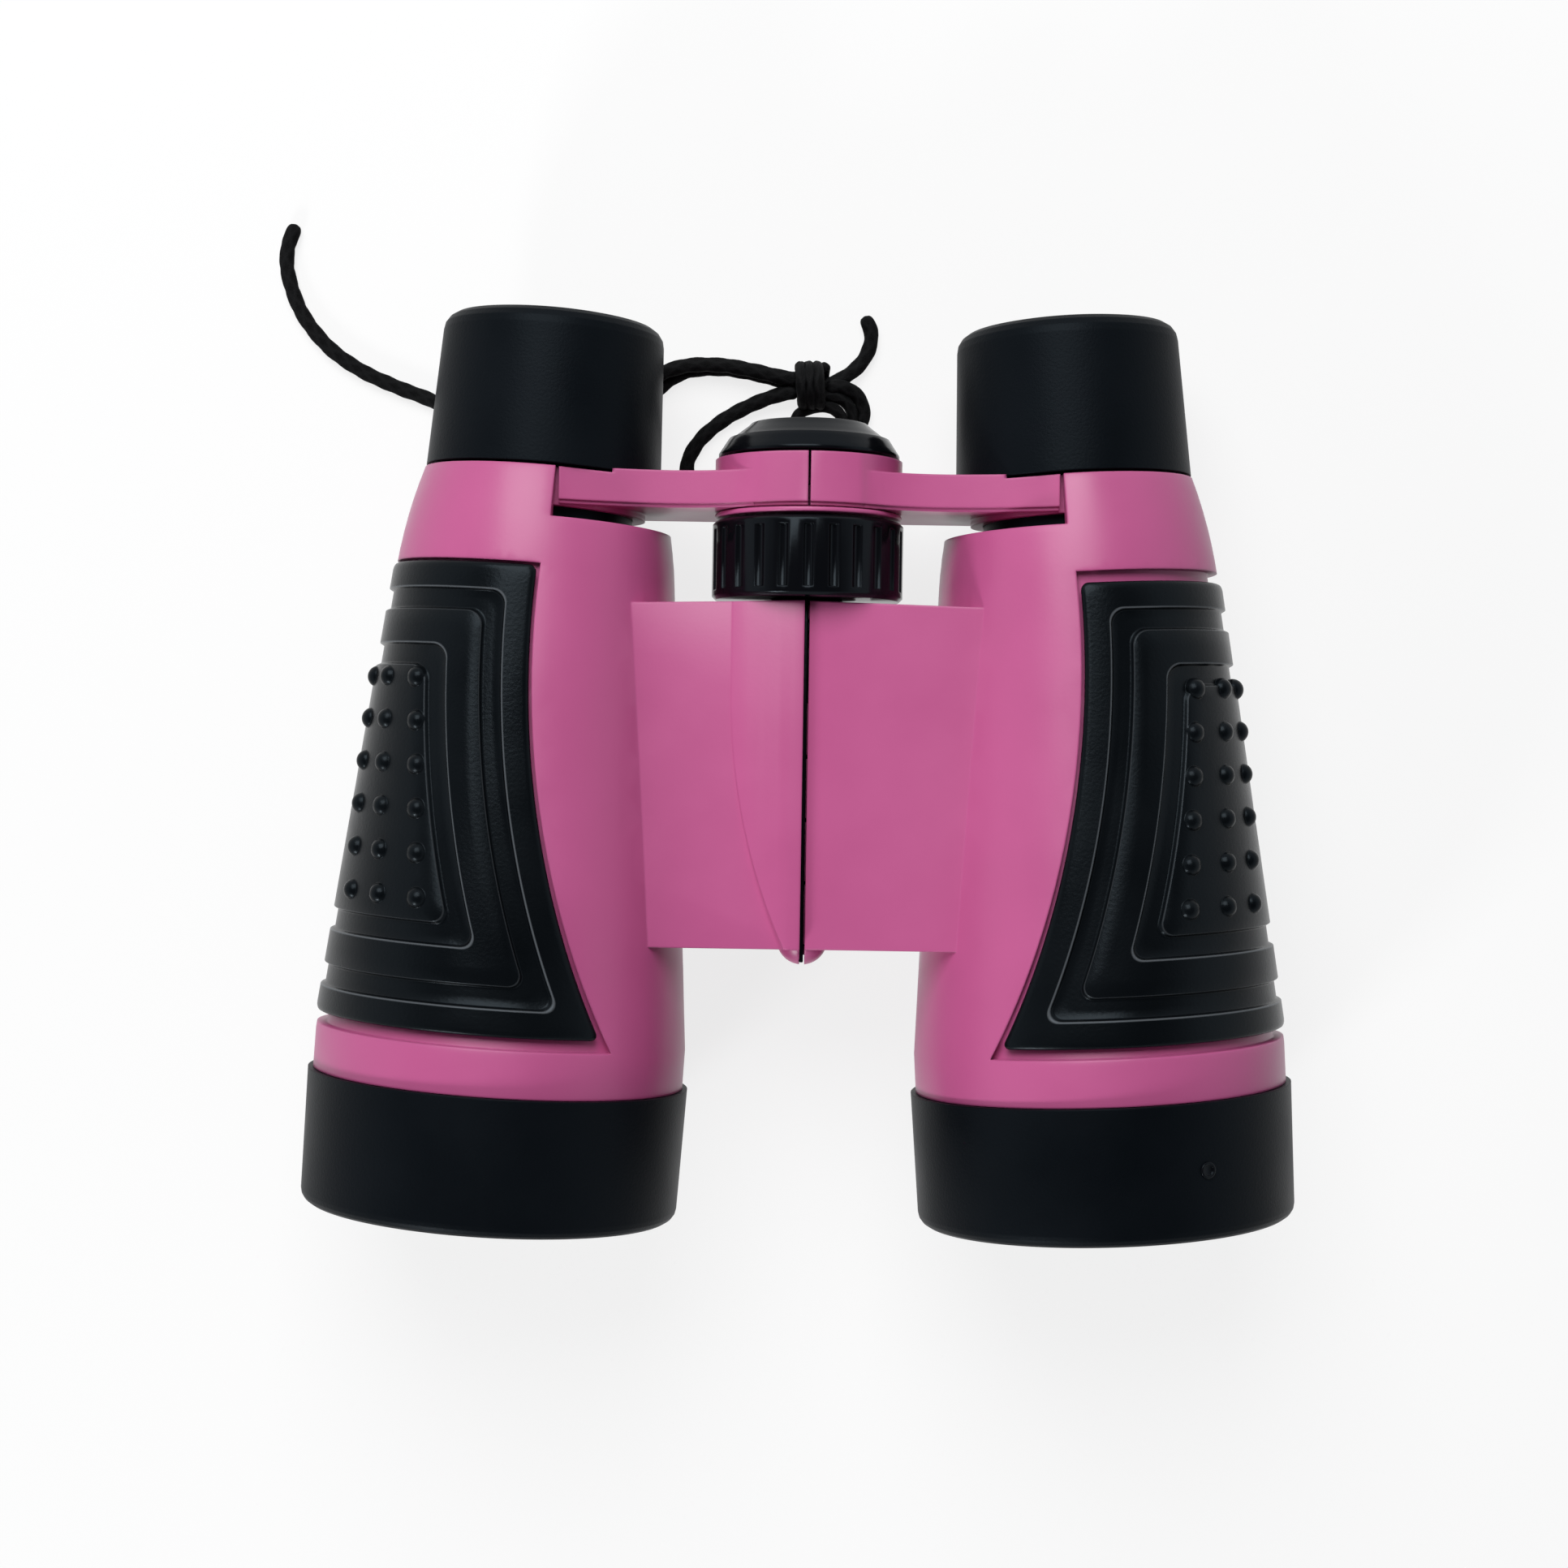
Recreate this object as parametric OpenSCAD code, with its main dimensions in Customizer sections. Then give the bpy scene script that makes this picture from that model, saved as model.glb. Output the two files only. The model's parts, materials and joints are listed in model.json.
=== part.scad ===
// Toy binoculars: two flared barrels on a centre hinge, a focus wheel that
// carries the eyepiece bridge in and out, and a tied neck cord.
// +Y runs towards the eyepieces, +Z is up, and the part lies on its barrels.

/* [Barrels] */
// Distance between the barrel axes at the middle of the hinge
barrel_spacing = 57.1; // [54:0.1:64]
// Lean of each barrel towards the other at the eyepiece end, in degrees
barrel_toe = 3.4; // [0:0.1:4]
// Barrel radius at the middle of the hinge
barrel_r = 16; // [15:0.1:17]
// Fall of the barrel radius per length towards the eyepiece
barrel_taper_share = 0.0978; // [0.07:0.001:0.11]
// Reach of the barrel towards the objective
barrel_front = 29.9; // [28:0.1:36]
// Reach of the barrel towards the eyepiece
barrel_back = 30.6; // [29.6:0.1:34]
// Wall of the barrel
barrel_wall = 2.2; // [1.9:0.1:2.8]
// Straight band next to the objective ring
band_len = 3.9; // [2:0.1:5]
// Length of the rounded shoulder at the eyepiece
shoulder_len = 10; // [6:0.1:12]
// Fall of the shoulder below the cone at its end
shoulder_drop = 1.1; // [0.4:0.1:1.3]

/* [Objectives] */
// Outer radius of the objective ring
ring_r = 19.05; // [18.8:0.05:21]
// Length of the objective ring
ring_len = 13.3; // [11.5:0.1:17]
// Wall of the objective ring
ring_wall = 2.4; // [2:0.1:2.8]
// Draft of the objective ring over its length
ring_draft = 0.2; // [0:0.05:0.6]
// Rounding of the ring's front edge
ring_round = 1.2; // [0.4:0.1:1.6]
// Length of the spigot that carries the ring
spigot_len = 6.1; // [4:0.1:6.6]
// Width of the flat rim round the ring's recess
rim_w = 1.25; // [0.9:0.05:2]
// Width of the lip that holds the lens
lip_w = 1.4; // [1:0.1:3]
// Length of the lip that holds the lens
lip_len = 1.2; // [0.8:0.1:2]
// Edge thickness of the objective lens
lens_edge = 1.5; // [1:0.1:2]
// Crown radius of the objective lens
lens_crown_r = 80; // [60:1:200]
// Thickness of the washer behind the lens
washer_t = 0.6; // [0.4:0.05:0.8]

/* [Eyepieces] */
// Radius of the eyecup where it meets the barrel
cup_base_r = 11.8; // [11.5:0.1:12.6]
// Radius of the eyecup at its end
cup_tip_r = 11.1; // [10.6:0.1:12]
// Length of the eyecup
cup_len = 15.4; // [13:0.1:20]
// Rounding of the eyecup's outer edge
cup_round = 1.8; // [0.5:0.1:2]
// Radius of the well in front of the eye lens
well_r = 8.2; // [7.6:0.1:8.6]
// Depth of that well
well_depth = 8.1; // [6:0.1:9]
// Radius of the hole in the eyecup's shelf
shelf_hole_r = 6.8; // [5:0.1:7]
// Thickness of the eyecup's shelf
shelf_t = 1; // [0.8:0.1:1.6]
// Outer radius of the eyepiece tube
tube_r = 9.2; // [9:0.1:9.4]
// Wall of the eyepiece tube
tube_wall = 1.5; // [1.2:0.1:1.8]
// Length of the eyepiece tube inside the barrel's back end
tube_reach = 16; // [10:0.1:18]
// Edge thickness of the eye lens
eye_lens_t = 2; // [1.4:0.1:2.4]
// Radius of the eye lens's hollow faces
eye_lens_hollow_r = 30; // [24:1:80]

/* [Grips] */
// Reach of the grip towards the objective
grip_front = 24.3; // [22:0.1:25]
// Reach of the grip towards the eyepiece
grip_back = 20.5; // [18:0.1:20.6]
// Height of the grip above the barrel
grip_proud = 0.3; // [0.1:0.05:0.5]
// Depth of the pocket that the grip lies in
pocket_depth = 1; // [0.6:0.05:1.2]
// Gap round the grip in its pocket
pocket_gap = 0.45; // [0.2:0.05:0.7]
// Gap at the grip's front edge
pocket_front_gap = 1.1; // [0.4:0.05:1.3]
// Radius of the curve of the grip's inner edge
grip_curve_r = 88; // [70:1:140]
// Distance of that curve past the barrel axis, where it comes nearest
grip_past_axis = 1.1; // [0.5:0.1:3]
// Distance of that nearest place from the middle of the hinge
grip_curve_y = 16; // [8:0.5:20]
// Depth of the two frame channels
channel_depth = 0.4; // [0.2:0.05:0.6]
// Width of the frame channels
channel_w = 2; // [1.4:0.1:2.4]
// Inset of the outer channel from the grip's edge
outer_inset = 2.9; // [2:0.1:3.4]
// Inset of the inner channel from the grip's edge
inner_inset = 7.6; // [6.5:0.1:8]
// Corner radius of the channels
channel_corner_r = 2.2; // [1:0.1:3]
// Radius of a grip stud
stud_r = 0.95; // [0.6:0.05:1.2]
// Height of a grip stud
stud_h = 0.7; // [0.4:0.05:0.8]
// Rows of studs
stud_rows = 6; // [4:1:7]
// Distance between the rows
stud_row_pitch = 4.28; // [3.6:0.02:4.4]
// Distance between the columns, along the surface
stud_column_pitch = 5.6; // [4.4:0.1:6.4]
// Distance of the first column from the barrel axis, seen from above
stud_first_x = 8.9; // [8:0.1:10]

/* [Hinge] */
// Height of the hinge axis above the barrel axes
hinge_z = 3.5; // [2.5:0.1:4.5]
// Thickness of the wings that cover the hinge
wing_t = 1.6; // [1.2:0.1:2]
// Height of the wings above the barrel axes
wing_z = 9.8; // [9:0.1:10.4]
// Reach of the wings towards the objective
wing_front = 16.1; // [15:0.1:18]
// Reach of the wings towards the eyepiece, at the barrels
wing_back = 17.2; // [16.6:0.1:17.5]
// Height of the left wing's swelling beside the seam
swell_h = 0.9; // [0.5:0.05:1.2]
// Width of that swelling at the wheel
swell_w = 7.3; // [5:0.1:9]
// Radius of the curve that draws it in towards the objective
swell_curve_r = 60; // [50:1:90]
// Place where that curve starts
swell_y = 9; // [4:0.5:12]
// Gap between the two halves along the seam
seam_gap = 0.5; // [0.4:0.05:0.9]
// Radius of a hinge knuckle
knuckle_r = 4.2; // [3.4:0.1:5]
// Radius of the hinge pin
pin_r = 1.5; // [1.2:0.05:2]
// Radius of the lobes at the foot of the seam
lobe_r = 2.5; // [1.8:0.1:3]
// Reach of the lobes past the wings
lobe_len = 1.6; // [1:0.1:2.4]

/* [Focus drive] */
// Radius of the focus wheel
wheel_r = 9.5; // [9:0.1:10]
// Width of the focus wheel
wheel_w = 7.8; // [6.6:0.1:7.9]
// Place of the wheel's front face
wheel_front = 18.2; // [18.1:0.05:18.6]
// Flutes round the wheel
flute_count = 24; // [16:1:30]
// Depth of a flute
flute_depth = 0.35; // [0.2:0.05:0.45]
// Radius of a flute
flute_r = 0.55; // [0.45:0.05:0.8]
// Plain rim at both ends of the flutes
flute_rim = 0.9; // [0.5:0.05:1.4]
// Radius of the wheel's journal
journal_r = 3.6; // [3.5:0.05:3.7]
// Length of the wheel's journal
journal_len = 3.4; // [3:0.1:3.8]
// Wall of the bearing that holds the journal
bearing_wall = 1.4; // [1:0.1:1.6]
// Length of that bearing
bearing_t = 1.4; // [1.2:0.1:1.6]
// Width of the clip on the journal
clip_w = 0.75; // [0.5:0.05:0.8]
// Thickness of that clip
clip_t = 0.8; // [0.6:0.1:1]
// Radius of the focus screw
screw_r = 2.6; // [2.2:0.05:2.9]
// Length of the focus screw
screw_len = 23.5; // [22:0.1:24.5]
// Thickness of the washer under the bridge
bridge_washer_t = 0.45; // [0.3:0.05:0.6]

/* [Bridge] */
// Radius of the bridge hub
hub_r = 9.3; // [8.8:0.1:9.8]
// Thickness of the hub
hub_t = 5.2; // [4.4:0.1:5.6]
// Thickness of the bridge arms
arm_t = 3.6; // [3:0.1:3.7]
// Height of the arms above the barrel axes at their lowest
arm_saddle_z = 8.6; // [7.6:0.1:9.4]
// Height of the arms at the barrels
arm_end_z = 11.2; // [10.6:0.1:11.4]
// Depth of the arms below the barrel axes
arm_depth = 5; // [3:0.1:7]
// Step of the rim along the arms' front edge
arm_rim = 0.35; // [0.2:0.05:0.5]
// Gap between the arms and the front of their notches
notch_gap = 1.3; // [0.9:0.1:1.8]
// Outer radius of the arm's ring round the eyepiece tube
arm_ring_r = 10.5; // [10.3:0.05:10.6]
// Distance of the notch's wall from the barrel axis
notch_x = 2.2; // [1.5:0.1:4]
// Radius of the cap on the screw at its foot
cap_r = 9; // [8.4:0.1:9.6]
// Radius of the cap's crown
cap_crown_r = 6.1; // [5:0.1:6.8]
// Height of the cap
cap_h = 3.4; // [3:0.1:4.4]

/* [Cord] */
// Height of the neck cord's oval section
cord_d = 1.3; // [1.1:0.05:1.35]
// Width of that section
cord_w = 1.6; // [1.3:0.05:1.7]
// Turns of the knot
knot_turns = 3; // [2:1:4]
// Radius of the hole in the strap lugs
lug_hole_r = 1.2; // [1.05:0.05:1.5]
// Thickness of the strap lugs
lug_t = 1.8; // [1.4:0.1:2.2]
// Place of the lugs along the barrel
lug_y = 27.4; // [25:0.1:28]
// Angle of the lugs below the side of the barrel, in degrees
lug_angle = 45; // [30:1:50]

/* [Fits] */
// Radial clearance of the running fits
run_fit = 0.05; // [0.02:0.01:0.1]
// Radial clearance between fixed pieces
seat_fit = 0.05; // [0.02:0.01:0.1]
// Gap between faces that move past each other
face_gap = 0.3; // [0.2:0.05:0.35]
// Clearance of the sliding eyepieces
slide_gap = 0.5; // [0.45:0.05:0.6]

/* [Hidden] */
pink = [0.86, 0.36, 0.62];
black = [0.07, 0.07, 0.08];
steel = [0.72, 0.73, 0.75];
glass = [0.62, 0.74, 0.86, 0.6];
round_fn = 96;
curve_fn = 720;
cut = 1;

// How the part lies: the cones under the grips rest on the floor
rest_tilt = atan(barrel_taper_share / cos(barrel_toe));
grip_surface_r = barrel_r + grip_proud;
rest_height = grip_surface_r * cos(rest_tilt);
ring_front = barrel_front + ring_len;
recess_r = ring_r - ring_draft - ring_round - rim_w;
aperture_r = recess_r - lip_w;
cup_front = barrel_back + face_gap;
cup_tip = cup_front + cup_len;
front_lean = sqrt(pow(sin(barrel_toe) * cos(rest_tilt), 2) + pow(sin(rest_tilt), 2));
front_end = ring_front * cos(barrel_toe) * cos(rest_tilt) + (ring_r - ring_draft - ring_round) * front_lean;
back_end = cup_tip * cos(barrel_toe) * cos(rest_tilt) + (cup_tip_r - cup_round) * front_lean;
middle_y = (back_end - front_end) / 2;

// Barrel
axis_x = barrel_spacing / 2;
spigot_r = ring_r - ring_wall - seat_fit;
spigot_front = barrel_front + spigot_len;
shoulder_start = barrel_back - shoulder_len;
shoulder_steps = 6;
counterbore_r = arm_ring_r + slide_gap;
tube_bore_r = tube_r + slide_gap;
tube_front = barrel_back - tube_reach;
guide_front = tube_front - cut;
guide_ramp = barrel_wall;
function cone_r(y) = barrel_r - barrel_taper_share * y;
function shoulder_fall(y) =
    y <= shoulder_start ? 0 : shoulder_drop * pow((y - shoulder_start) / shoulder_len, 2);
function outer_r(y) = cone_r(y) - shoulder_fall(y);
band_y = barrel_front - band_len;
lug_ring_r = lug_hole_r + lug_t / 2;
lug_out = lug_hole_r - lug_t / 4;

// Grip
stud_sink = stud_r - stud_h;
grip_inner_r = barrel_r - pocket_depth;
stud_middle_y = (grip_back - grip_front) / 2 + stud_row_pitch / 3;
stud_last_share = 0.4;
corner_steps = 4;
side_steps = 8;

// Hinge and bridge
grip_fit = seat_fit / 5;
wing_rise = wing_z - hinge_z;
wing_end = wheel_front - face_gap - seat_fit;
swell_crown_w = swell_w + face_gap;
swell_crown_r = (pow(swell_crown_w, 2) + pow(swell_h, 2)) / (2 * swell_h);
knuckle_gap = 0.4;
knuckle_count = 4;
clip_r = journal_r + clip_w;
bearing_r = journal_r + bearing_wall;
bearing_back = wing_end - face_gap;
bearing_front = bearing_back - bearing_t;
clip_back = bearing_front - face_gap;
skirt_x = bearing_r + wing_t;
pin_front = wing_front + lobe_len / 2;
web_top_share = 0.9;
wheel_back = wheel_front + wheel_w;
washer_front = wheel_back + face_gap;
hub_front = washer_front + bridge_washer_t + face_gap / 2;
hub_back = hub_front + hub_t;
counterbore_y = hub_front - notch_gap;
arm_back = hub_front + arm_t;
screw_gap = run_fit * 2;
hub_ring_r = screw_r + barrel_wall + run_fit;
cap_front = hub_back + face_gap;
screw_grip_share = 0.4;
screw_front = cap_front + cap_h * screw_grip_share - screw_len;
knuckle_w = (wing_front + screw_front - wing_t) / knuckle_count - knuckle_gap;
cap_tier_share = 0.55;
cap_step = 0.3;
arm_steps = 24;
arm_leave_angle = 35;

// Cord: the routes lie on the floor, each point chosen by hand
cord_r = cord_d / 2;
cord_sides = 8;
knot_core_share = 1.5;
knot_at = [0.3, 39.6, 2.6];
neck_cord_route = [
    [-54.1, 55.6, 0.65], [-55, 53, 0.65], [-54.9, 50.2, 0.65], [-53.5, 46.4, 0.65],
    [-50.8, 43, 0.65], [-47.4, 40.6, 0.65], [-43.6, 38.9, 0.65], [-39.6, 37.4, 0.65],
    [-35.8, 35.2, 0.65], [-32.2, 32.6, 0.65], [-28.8, 30.8, 0.65], [-25.4, 30.8, 0.65],
    [-22.2, 33.2, 0.65], [-19.6, 36.8, 0.65], [-17, 39.8, 0.65], [-13.4, 41.4, 0.65],
    [-9.4, 41.6, 0.65], [-6, 41.1, 0.9], [-3.2, 40.5, 1.6], [-1, 40.2, 2.2]
];
lug_cord_route = [
    [-39.7, 25.6, 1.3], [-39.4, 27.2, 0.9], [-37.4, 28.5, 0.65], [-34, 28.8, 0.65], [-30.4, 28.8, 0.65],
    [-26.8, 28.8, 0.65], [-23.4, 29.4, 0.65], [-20.8, 31.4, 0.65], [-18.4, 34.6, 0.65], [-16, 37.6, 0.65],
    [-13, 39.6, 0.65], [-9.2, 40, 0.65], [-6, 39.5, 0.9], [-3.2, 38.9, 1.5], [-1, 38.8, 2]
];
cord_loop_route = [
    [6.1, 47, 0.65], [6.9, 45.2, 0.65], [6.4, 43, 0.65], [4.6, 41.4, 1.2], [2.8, 40.4, 1.9],
    [2.1, 39.2, 2.1], [3.2, 38.2, 1.9], [4.9, 37.7, 1.2], [5.9, 36.2, 0.65], [5.2, 34.6, 0.65],
    [3, 33.8, 0.65], [-0.6, 33, 0.65], [-3.6, 30.6, 0.65], [-6.4, 28, 0.65], [-9.6, 27.2, 0.65],
    [-12, 28.6, 0.65], [-12.8, 31, 0.65], [-11.6, 33.6, 0.65], [-9.2, 35.8, 0.65], [-6.4, 37.4, 0.9],
    [-3.6, 38.5, 1.5], [-1.2, 39, 2]
];

// Helpers

module lying() {
    translate([0, -middle_y, rest_height]) rotate([-rest_tilt, 0, 0]) children();
}

module on_side(side) {
    mirror([side < 0 ? 1 : 0, 0, 0]) children();
}

module on_barrel() {
    translate([axis_x, 0, 0]) rotate([0, 0, barrel_toe]) children();
}

module on_hinge() {
    translate([0, 0, hinge_z]) children();
}

module spun(profile) {
    rotate([-90, 0, 0]) rotate_extrude($fn = round_fn) polygon(profile);
}

// A rod along Y from one place to another
module rod(r, from, to, fn = round_fn) {
    translate([0, from, 0]) rotate([-90, 0, 0]) cylinder(r = r, h = to - from, $fn = fn);
}

// A plate in the XZ plane, from one place along Y to another
module standing(from, to) {
    translate([0, to, 0]) rotate([90, 0, 0]) linear_extrude(to - from) children();
}

// Barrel with its wing, half of the hinge and strap lug

function shoulder_profile() = [
    for (i = [0 : shoulder_steps])
        let (y = shoulder_start + shoulder_len * i / shoulder_steps) [outer_r(y), y]
];

barrel_outline = concat(
    [[0, -spigot_front], [spigot_r, -spigot_front], [spigot_r, -barrel_front],
     [cone_r(-band_y), -barrel_front], [cone_r(-band_y), -band_y]],
    shoulder_profile(),
    [[0, barrel_back]]
);

barrel_hollow = [
    [0, -spigot_front - cut], [spigot_r - barrel_wall, -spigot_front - cut],
    [spigot_r - barrel_wall, -barrel_front],
    [cone_r(guide_front - guide_ramp) - barrel_wall, guide_front - guide_ramp],
    [tube_bore_r, guide_front], [tube_bore_r, counterbore_y],
    [counterbore_r, counterbore_y], [counterbore_r, barrel_back + cut], [0, barrel_back + cut]
];

// Outline of the grip from above, let out by a gap; +X is the outer side
module grip_area(gap, front_gap) {
    difference() {
        translate([-axis_x, -grip_front - front_gap])
            square([axis_x * 2 + ring_r, grip_front + grip_back + front_gap + gap]);
        translate([-grip_past_axis - grip_curve_r, grip_curve_y])
            circle(r = grip_curve_r - gap, $fn = curve_fn);
    }
}

// A layer of the barrel's cone, from one height over its surface to another
module cone_layer(low, high) {
    reach = barrel_front + barrel_back;
    spun([
        [cone_r(-reach) + low, -reach], [cone_r(-reach) + high, -reach],
        [cone_r(reach) + high, reach], [cone_r(reach) + low, reach]
    ]);
}

module upright() {
    translate([0, 0, -ring_r * 2]) linear_extrude(ring_r * 4) children();
}

module grip_pocket() {
    intersection() {
        cone_layer(-pocket_depth, barrel_wall);
        upright() grip_area(pocket_gap, pocket_front_gap);
    }
}

module wing_area() {
    polygon([
        [seam_gap / 2, -wing_front], [axis_x, -wing_front],
        [axis_x, wing_back], [seam_gap / 2, wing_end]
    ]);
}

// Outline of the left wing's swelling: an ogive that narrows towards the objective
module swell_area() {
    intersection() {
        wing_area();
        union() {
            translate([swell_w - swell_curve_r, swell_y]) circle(r = swell_curve_r, $fn = curve_fn);
            translate([0, swell_y]) square([swell_w, wing_end - swell_y]);
        }
    }
}

module wing_swelling() {
    intersection() {
        translate([0, 0, wing_z - wing_t]) linear_extrude(wing_t + swell_h * 2) swell_area();
        translate([0, 0, wing_z + swell_h - swell_crown_r])
            rod(swell_crown_r, -wing_front - cut, wing_end + cut, curve_fn);
    }
}

// Round lobe at the foot of the seam
module seam_lobe() {
    lobe_y = -wing_front - lobe_len + lobe_r;
    difference() {
        translate([0, 0, wing_z - lobe_r]) {
            rod(lobe_r, lobe_y, lobe_y + lobe_r + wing_t);
            translate([0, lobe_y, 0]) sphere(r = lobe_r, $fn = 48);
        }
        translate([seam_gap / 2 - lobe_r * 2, -barrel_front, 0]) cube([lobe_r * 2, barrel_front * 2, ring_r]);
        on_hinge() rod(knuckle_r + face_gap, -wing_front, lobe_y + lobe_r * 2 + wing_t);
    }
}

module hinge_cover(side) {
    translate([0, 0, wing_z - wing_t]) linear_extrude(wing_t) wing_area();
    if (side < 0) wing_swelling();
    for (y = [-wing_front, wing_back - wing_t])
        translate([skirt_x, y, hinge_z - knuckle_r / 2])
            cube([axis_x - skirt_x, wing_t, wing_rise - wing_t / 2 + knuckle_r / 2]);
    seam_lobe();
}

// Places of a half's knuckles along the pin: the halves take turns
function knuckle_y(turn) = -wing_front + knuckle_gap + turn * (knuckle_w + knuckle_gap);

module knuckle(from, to, r) {
    on_hinge() {
        rod(r, from, to);
        standing(from, to) polygon([
            [0, -knuckle_r / 2], [axis_x - cone_r(0), -knuckle_r / 2],
            [axis_x - cone_r(0), wing_rise - wing_t / 2], [skirt_x, wing_rise - wing_t / 2],
            [0, knuckle_r * web_top_share]
        ]);
    }
}

module strap_lug() {
    on_barrel() translate([0, lug_y, 0]) rotate([0, lug_angle, 0])
        translate([outer_r(lug_y) + lug_out, 0, 0])
            rotate_extrude($fn = 48) translate([lug_ring_r, 0]) circle(r = lug_t / 2, $fn = 32);
}

module barrel_half(side) {
    color(pink) lying() on_side(side) difference() {
        union() {
            on_barrel() spun(barrel_outline);
            hinge_cover(side);
            for (turn = side < 0 ? [0, 2] : [1, 3])
                knuckle(knuckle_y(turn), knuckle_y(turn) + knuckle_w, knuckle_r);
            if (side < 0) knuckle(bearing_front, bearing_back, bearing_r);
            strap_lug();
        }
        on_barrel() {
            spun(barrel_hollow);
            grip_pocket();
            translate([-axis_x - notch_x, counterbore_y, -ring_r])
                cube([axis_x, ring_r, ring_r * 2]);
        }
        on_hinge() {
            rod(pin_r + (side < 0 ? grip_fit : run_fit), -wing_front - cut, clip_back);
            rod(journal_r + run_fit, bearing_front - cut, wing_end + cut);
            if (side > 0) rod(bearing_r + face_gap, bearing_front - face_gap, wing_end + cut);
        }
    }
}

module left_barrel() { barrel_half(-1); }
module right_barrel() { barrel_half(1); }

// Grip

// Frame outline with round corners at its inner edge, drawn in by an inset
function frame_edge_x(y, inset) =
    -grip_past_axis - grip_curve_r
    + sqrt(pow(grip_curve_r + inset, 2) - pow(y - grip_curve_y, 2));

function frame_corner(y, inset, toward) = [
    for (i = [0 : corner_steps])
        let (a = 90 * i / corner_steps, r = channel_corner_r)
        [frame_edge_x(y - toward * r * (1 - cos(a)), inset) + r * (1 - sin(a)), y - toward * r * (1 - cos(a))]
];

module frame_area(inset) {
    back = grip_back - inset;
    front = -grip_front + inset;
    side_back = back - channel_corner_r;
    side_front = front + channel_corner_r;
    polygon(concat(
        [[axis_x + ring_r, front], [axis_x + ring_r, back]],
        frame_corner(back, inset, 1),
        [for (i = [1 : side_steps - 1])
            let (y = side_back + (side_front - side_back) * i / side_steps)
            [frame_edge_x(y, inset), y]],
        [for (i = [corner_steps : -1 : 0]) frame_corner(front, inset, -1)[i]]
    ));
}

module frame_channel(inset) {
    intersection() {
        cone_layer(grip_proud - channel_depth, grip_proud + cut);
        upright() difference() {
            frame_area(inset);
            frame_area(inset + channel_w);
        }
    }
}

// Studs run from the first column outwards, as far as half a pitch from the outermost line
module studs() {
    for (row = [0 : stud_rows - 1]) {
        y = stud_middle_y + (row - (stud_rows - 1) / 2) * stud_row_pitch;
        r = cone_r(y) + grip_proud;
        first = acos(stud_first_x / r);
        step = stud_column_pitch / r * 180 / PI;
        for (angle = [first : -step : step * stud_last_share], over = [-1, 1])
            translate([0, y, 0]) rotate([0, over * angle, 0])
                translate([r - stud_sink, 0, 0]) sphere(r = stud_r, $fn = 20);
    }
}

module grip(side) {
    color(black) lying() on_side(side) on_barrel() {
        difference() {
            intersection() {
                cone_layer(-pocket_depth + seat_fit, grip_proud);
                upright() grip_area(0, 0);
            }
            frame_channel(outer_inset);
            frame_channel(inner_inset);
        }
        studs();
    }
}

module left_grip() { grip(-1); }
module right_grip() { grip(1); }

// Objective ring, lens and washer

washer_y = -spigot_front - washer_t;
lens_y = washer_y - seat_fit - lens_edge;
lip_back = lens_y - seat_fit;
lip_front = lip_back - lip_len;
lens_gap = seat_fit * 4;
lens_r = spigot_r - lens_gap;
lens_cap_r = aperture_r - lens_gap;
ring_tip_r = ring_r - ring_draft;

module objective_ring(side) {
    round_at = [ring_tip_r - ring_round, -ring_front + ring_round];
    rounding = [for (i = [0 : corner_steps]) let (a = 90 * i / corner_steps)
        [round_at[0] + ring_round * sin(a), round_at[1] - ring_round * cos(a)]];
    color(black) lying() on_side(side) on_barrel() spun(concat(
        [[recess_r, -ring_front]],
        rounding,
        [[ring_r, -barrel_front - seat_fit], [ring_r - ring_wall, -barrel_front - seat_fit],
         [ring_r - ring_wall, lip_back], [aperture_r, lip_back],
         [aperture_r, lip_front], [recess_r, lip_front]]
    ));
}

module left_objective_ring() { objective_ring(-1); }
module right_objective_ring() { objective_ring(1); }

module objective_lens(side) {
    crown = lens_crown_r - sqrt(pow(lens_crown_r, 2) - pow(lens_cap_r, 2));
    color(glass) lying() on_side(side) on_barrel() {
        rod(lens_r, lens_y, lens_y + lens_edge);
        intersection() {
            rod(lens_cap_r, lens_y - crown - cut, lens_y + lens_edge / 2);
            translate([0, lens_y - crown + lens_crown_r, 0]) sphere(r = lens_crown_r, $fn = 360);
        }
    }
}

module left_objective_lens() { objective_lens(-1); }
module right_objective_lens() { objective_lens(1); }

module lens_washer(side) {
    inner_r = spigot_r - barrel_wall;
    color(black) lying() on_side(side) on_barrel() spun([
        [inner_r, washer_y], [spigot_r, washer_y],
        [spigot_r, -spigot_front - seat_fit], [inner_r, -spigot_front - seat_fit]
    ]);
}

module left_lens_washer() { lens_washer(-1); }
module right_lens_washer() { lens_washer(1); }

// Hinge pin, focus wheel and screw

module hinge_pin() {
    color(steel) lying() on_hinge()
        rod(pin_r, -pin_front, knuckle_y(knuckle_count));
}

module focus_wheel() {
    bevel = flute_depth;
    color(black) lying() on_hinge() difference() {
        union() {
            spun([
                [0, wheel_front], [wheel_r - bevel, wheel_front], [wheel_r, wheel_front + bevel],
                [wheel_r, wheel_back - bevel], [wheel_r - bevel, wheel_back], [0, wheel_back]
            ]);
            rod(journal_r, wheel_front - journal_len, wheel_front + cut);
        }
        rod(screw_r + run_fit, wheel_front - journal_len - cut, wheel_back + cut);
        for (i = [0 : flute_count - 1])
            rotate([0, 360 * i / flute_count, 0])
                translate([wheel_r + flute_r - flute_depth, 0, 0])
                    rod(flute_r, wheel_front + flute_rim, wheel_back - flute_rim, round_fn / 3);
    }
}

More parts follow.
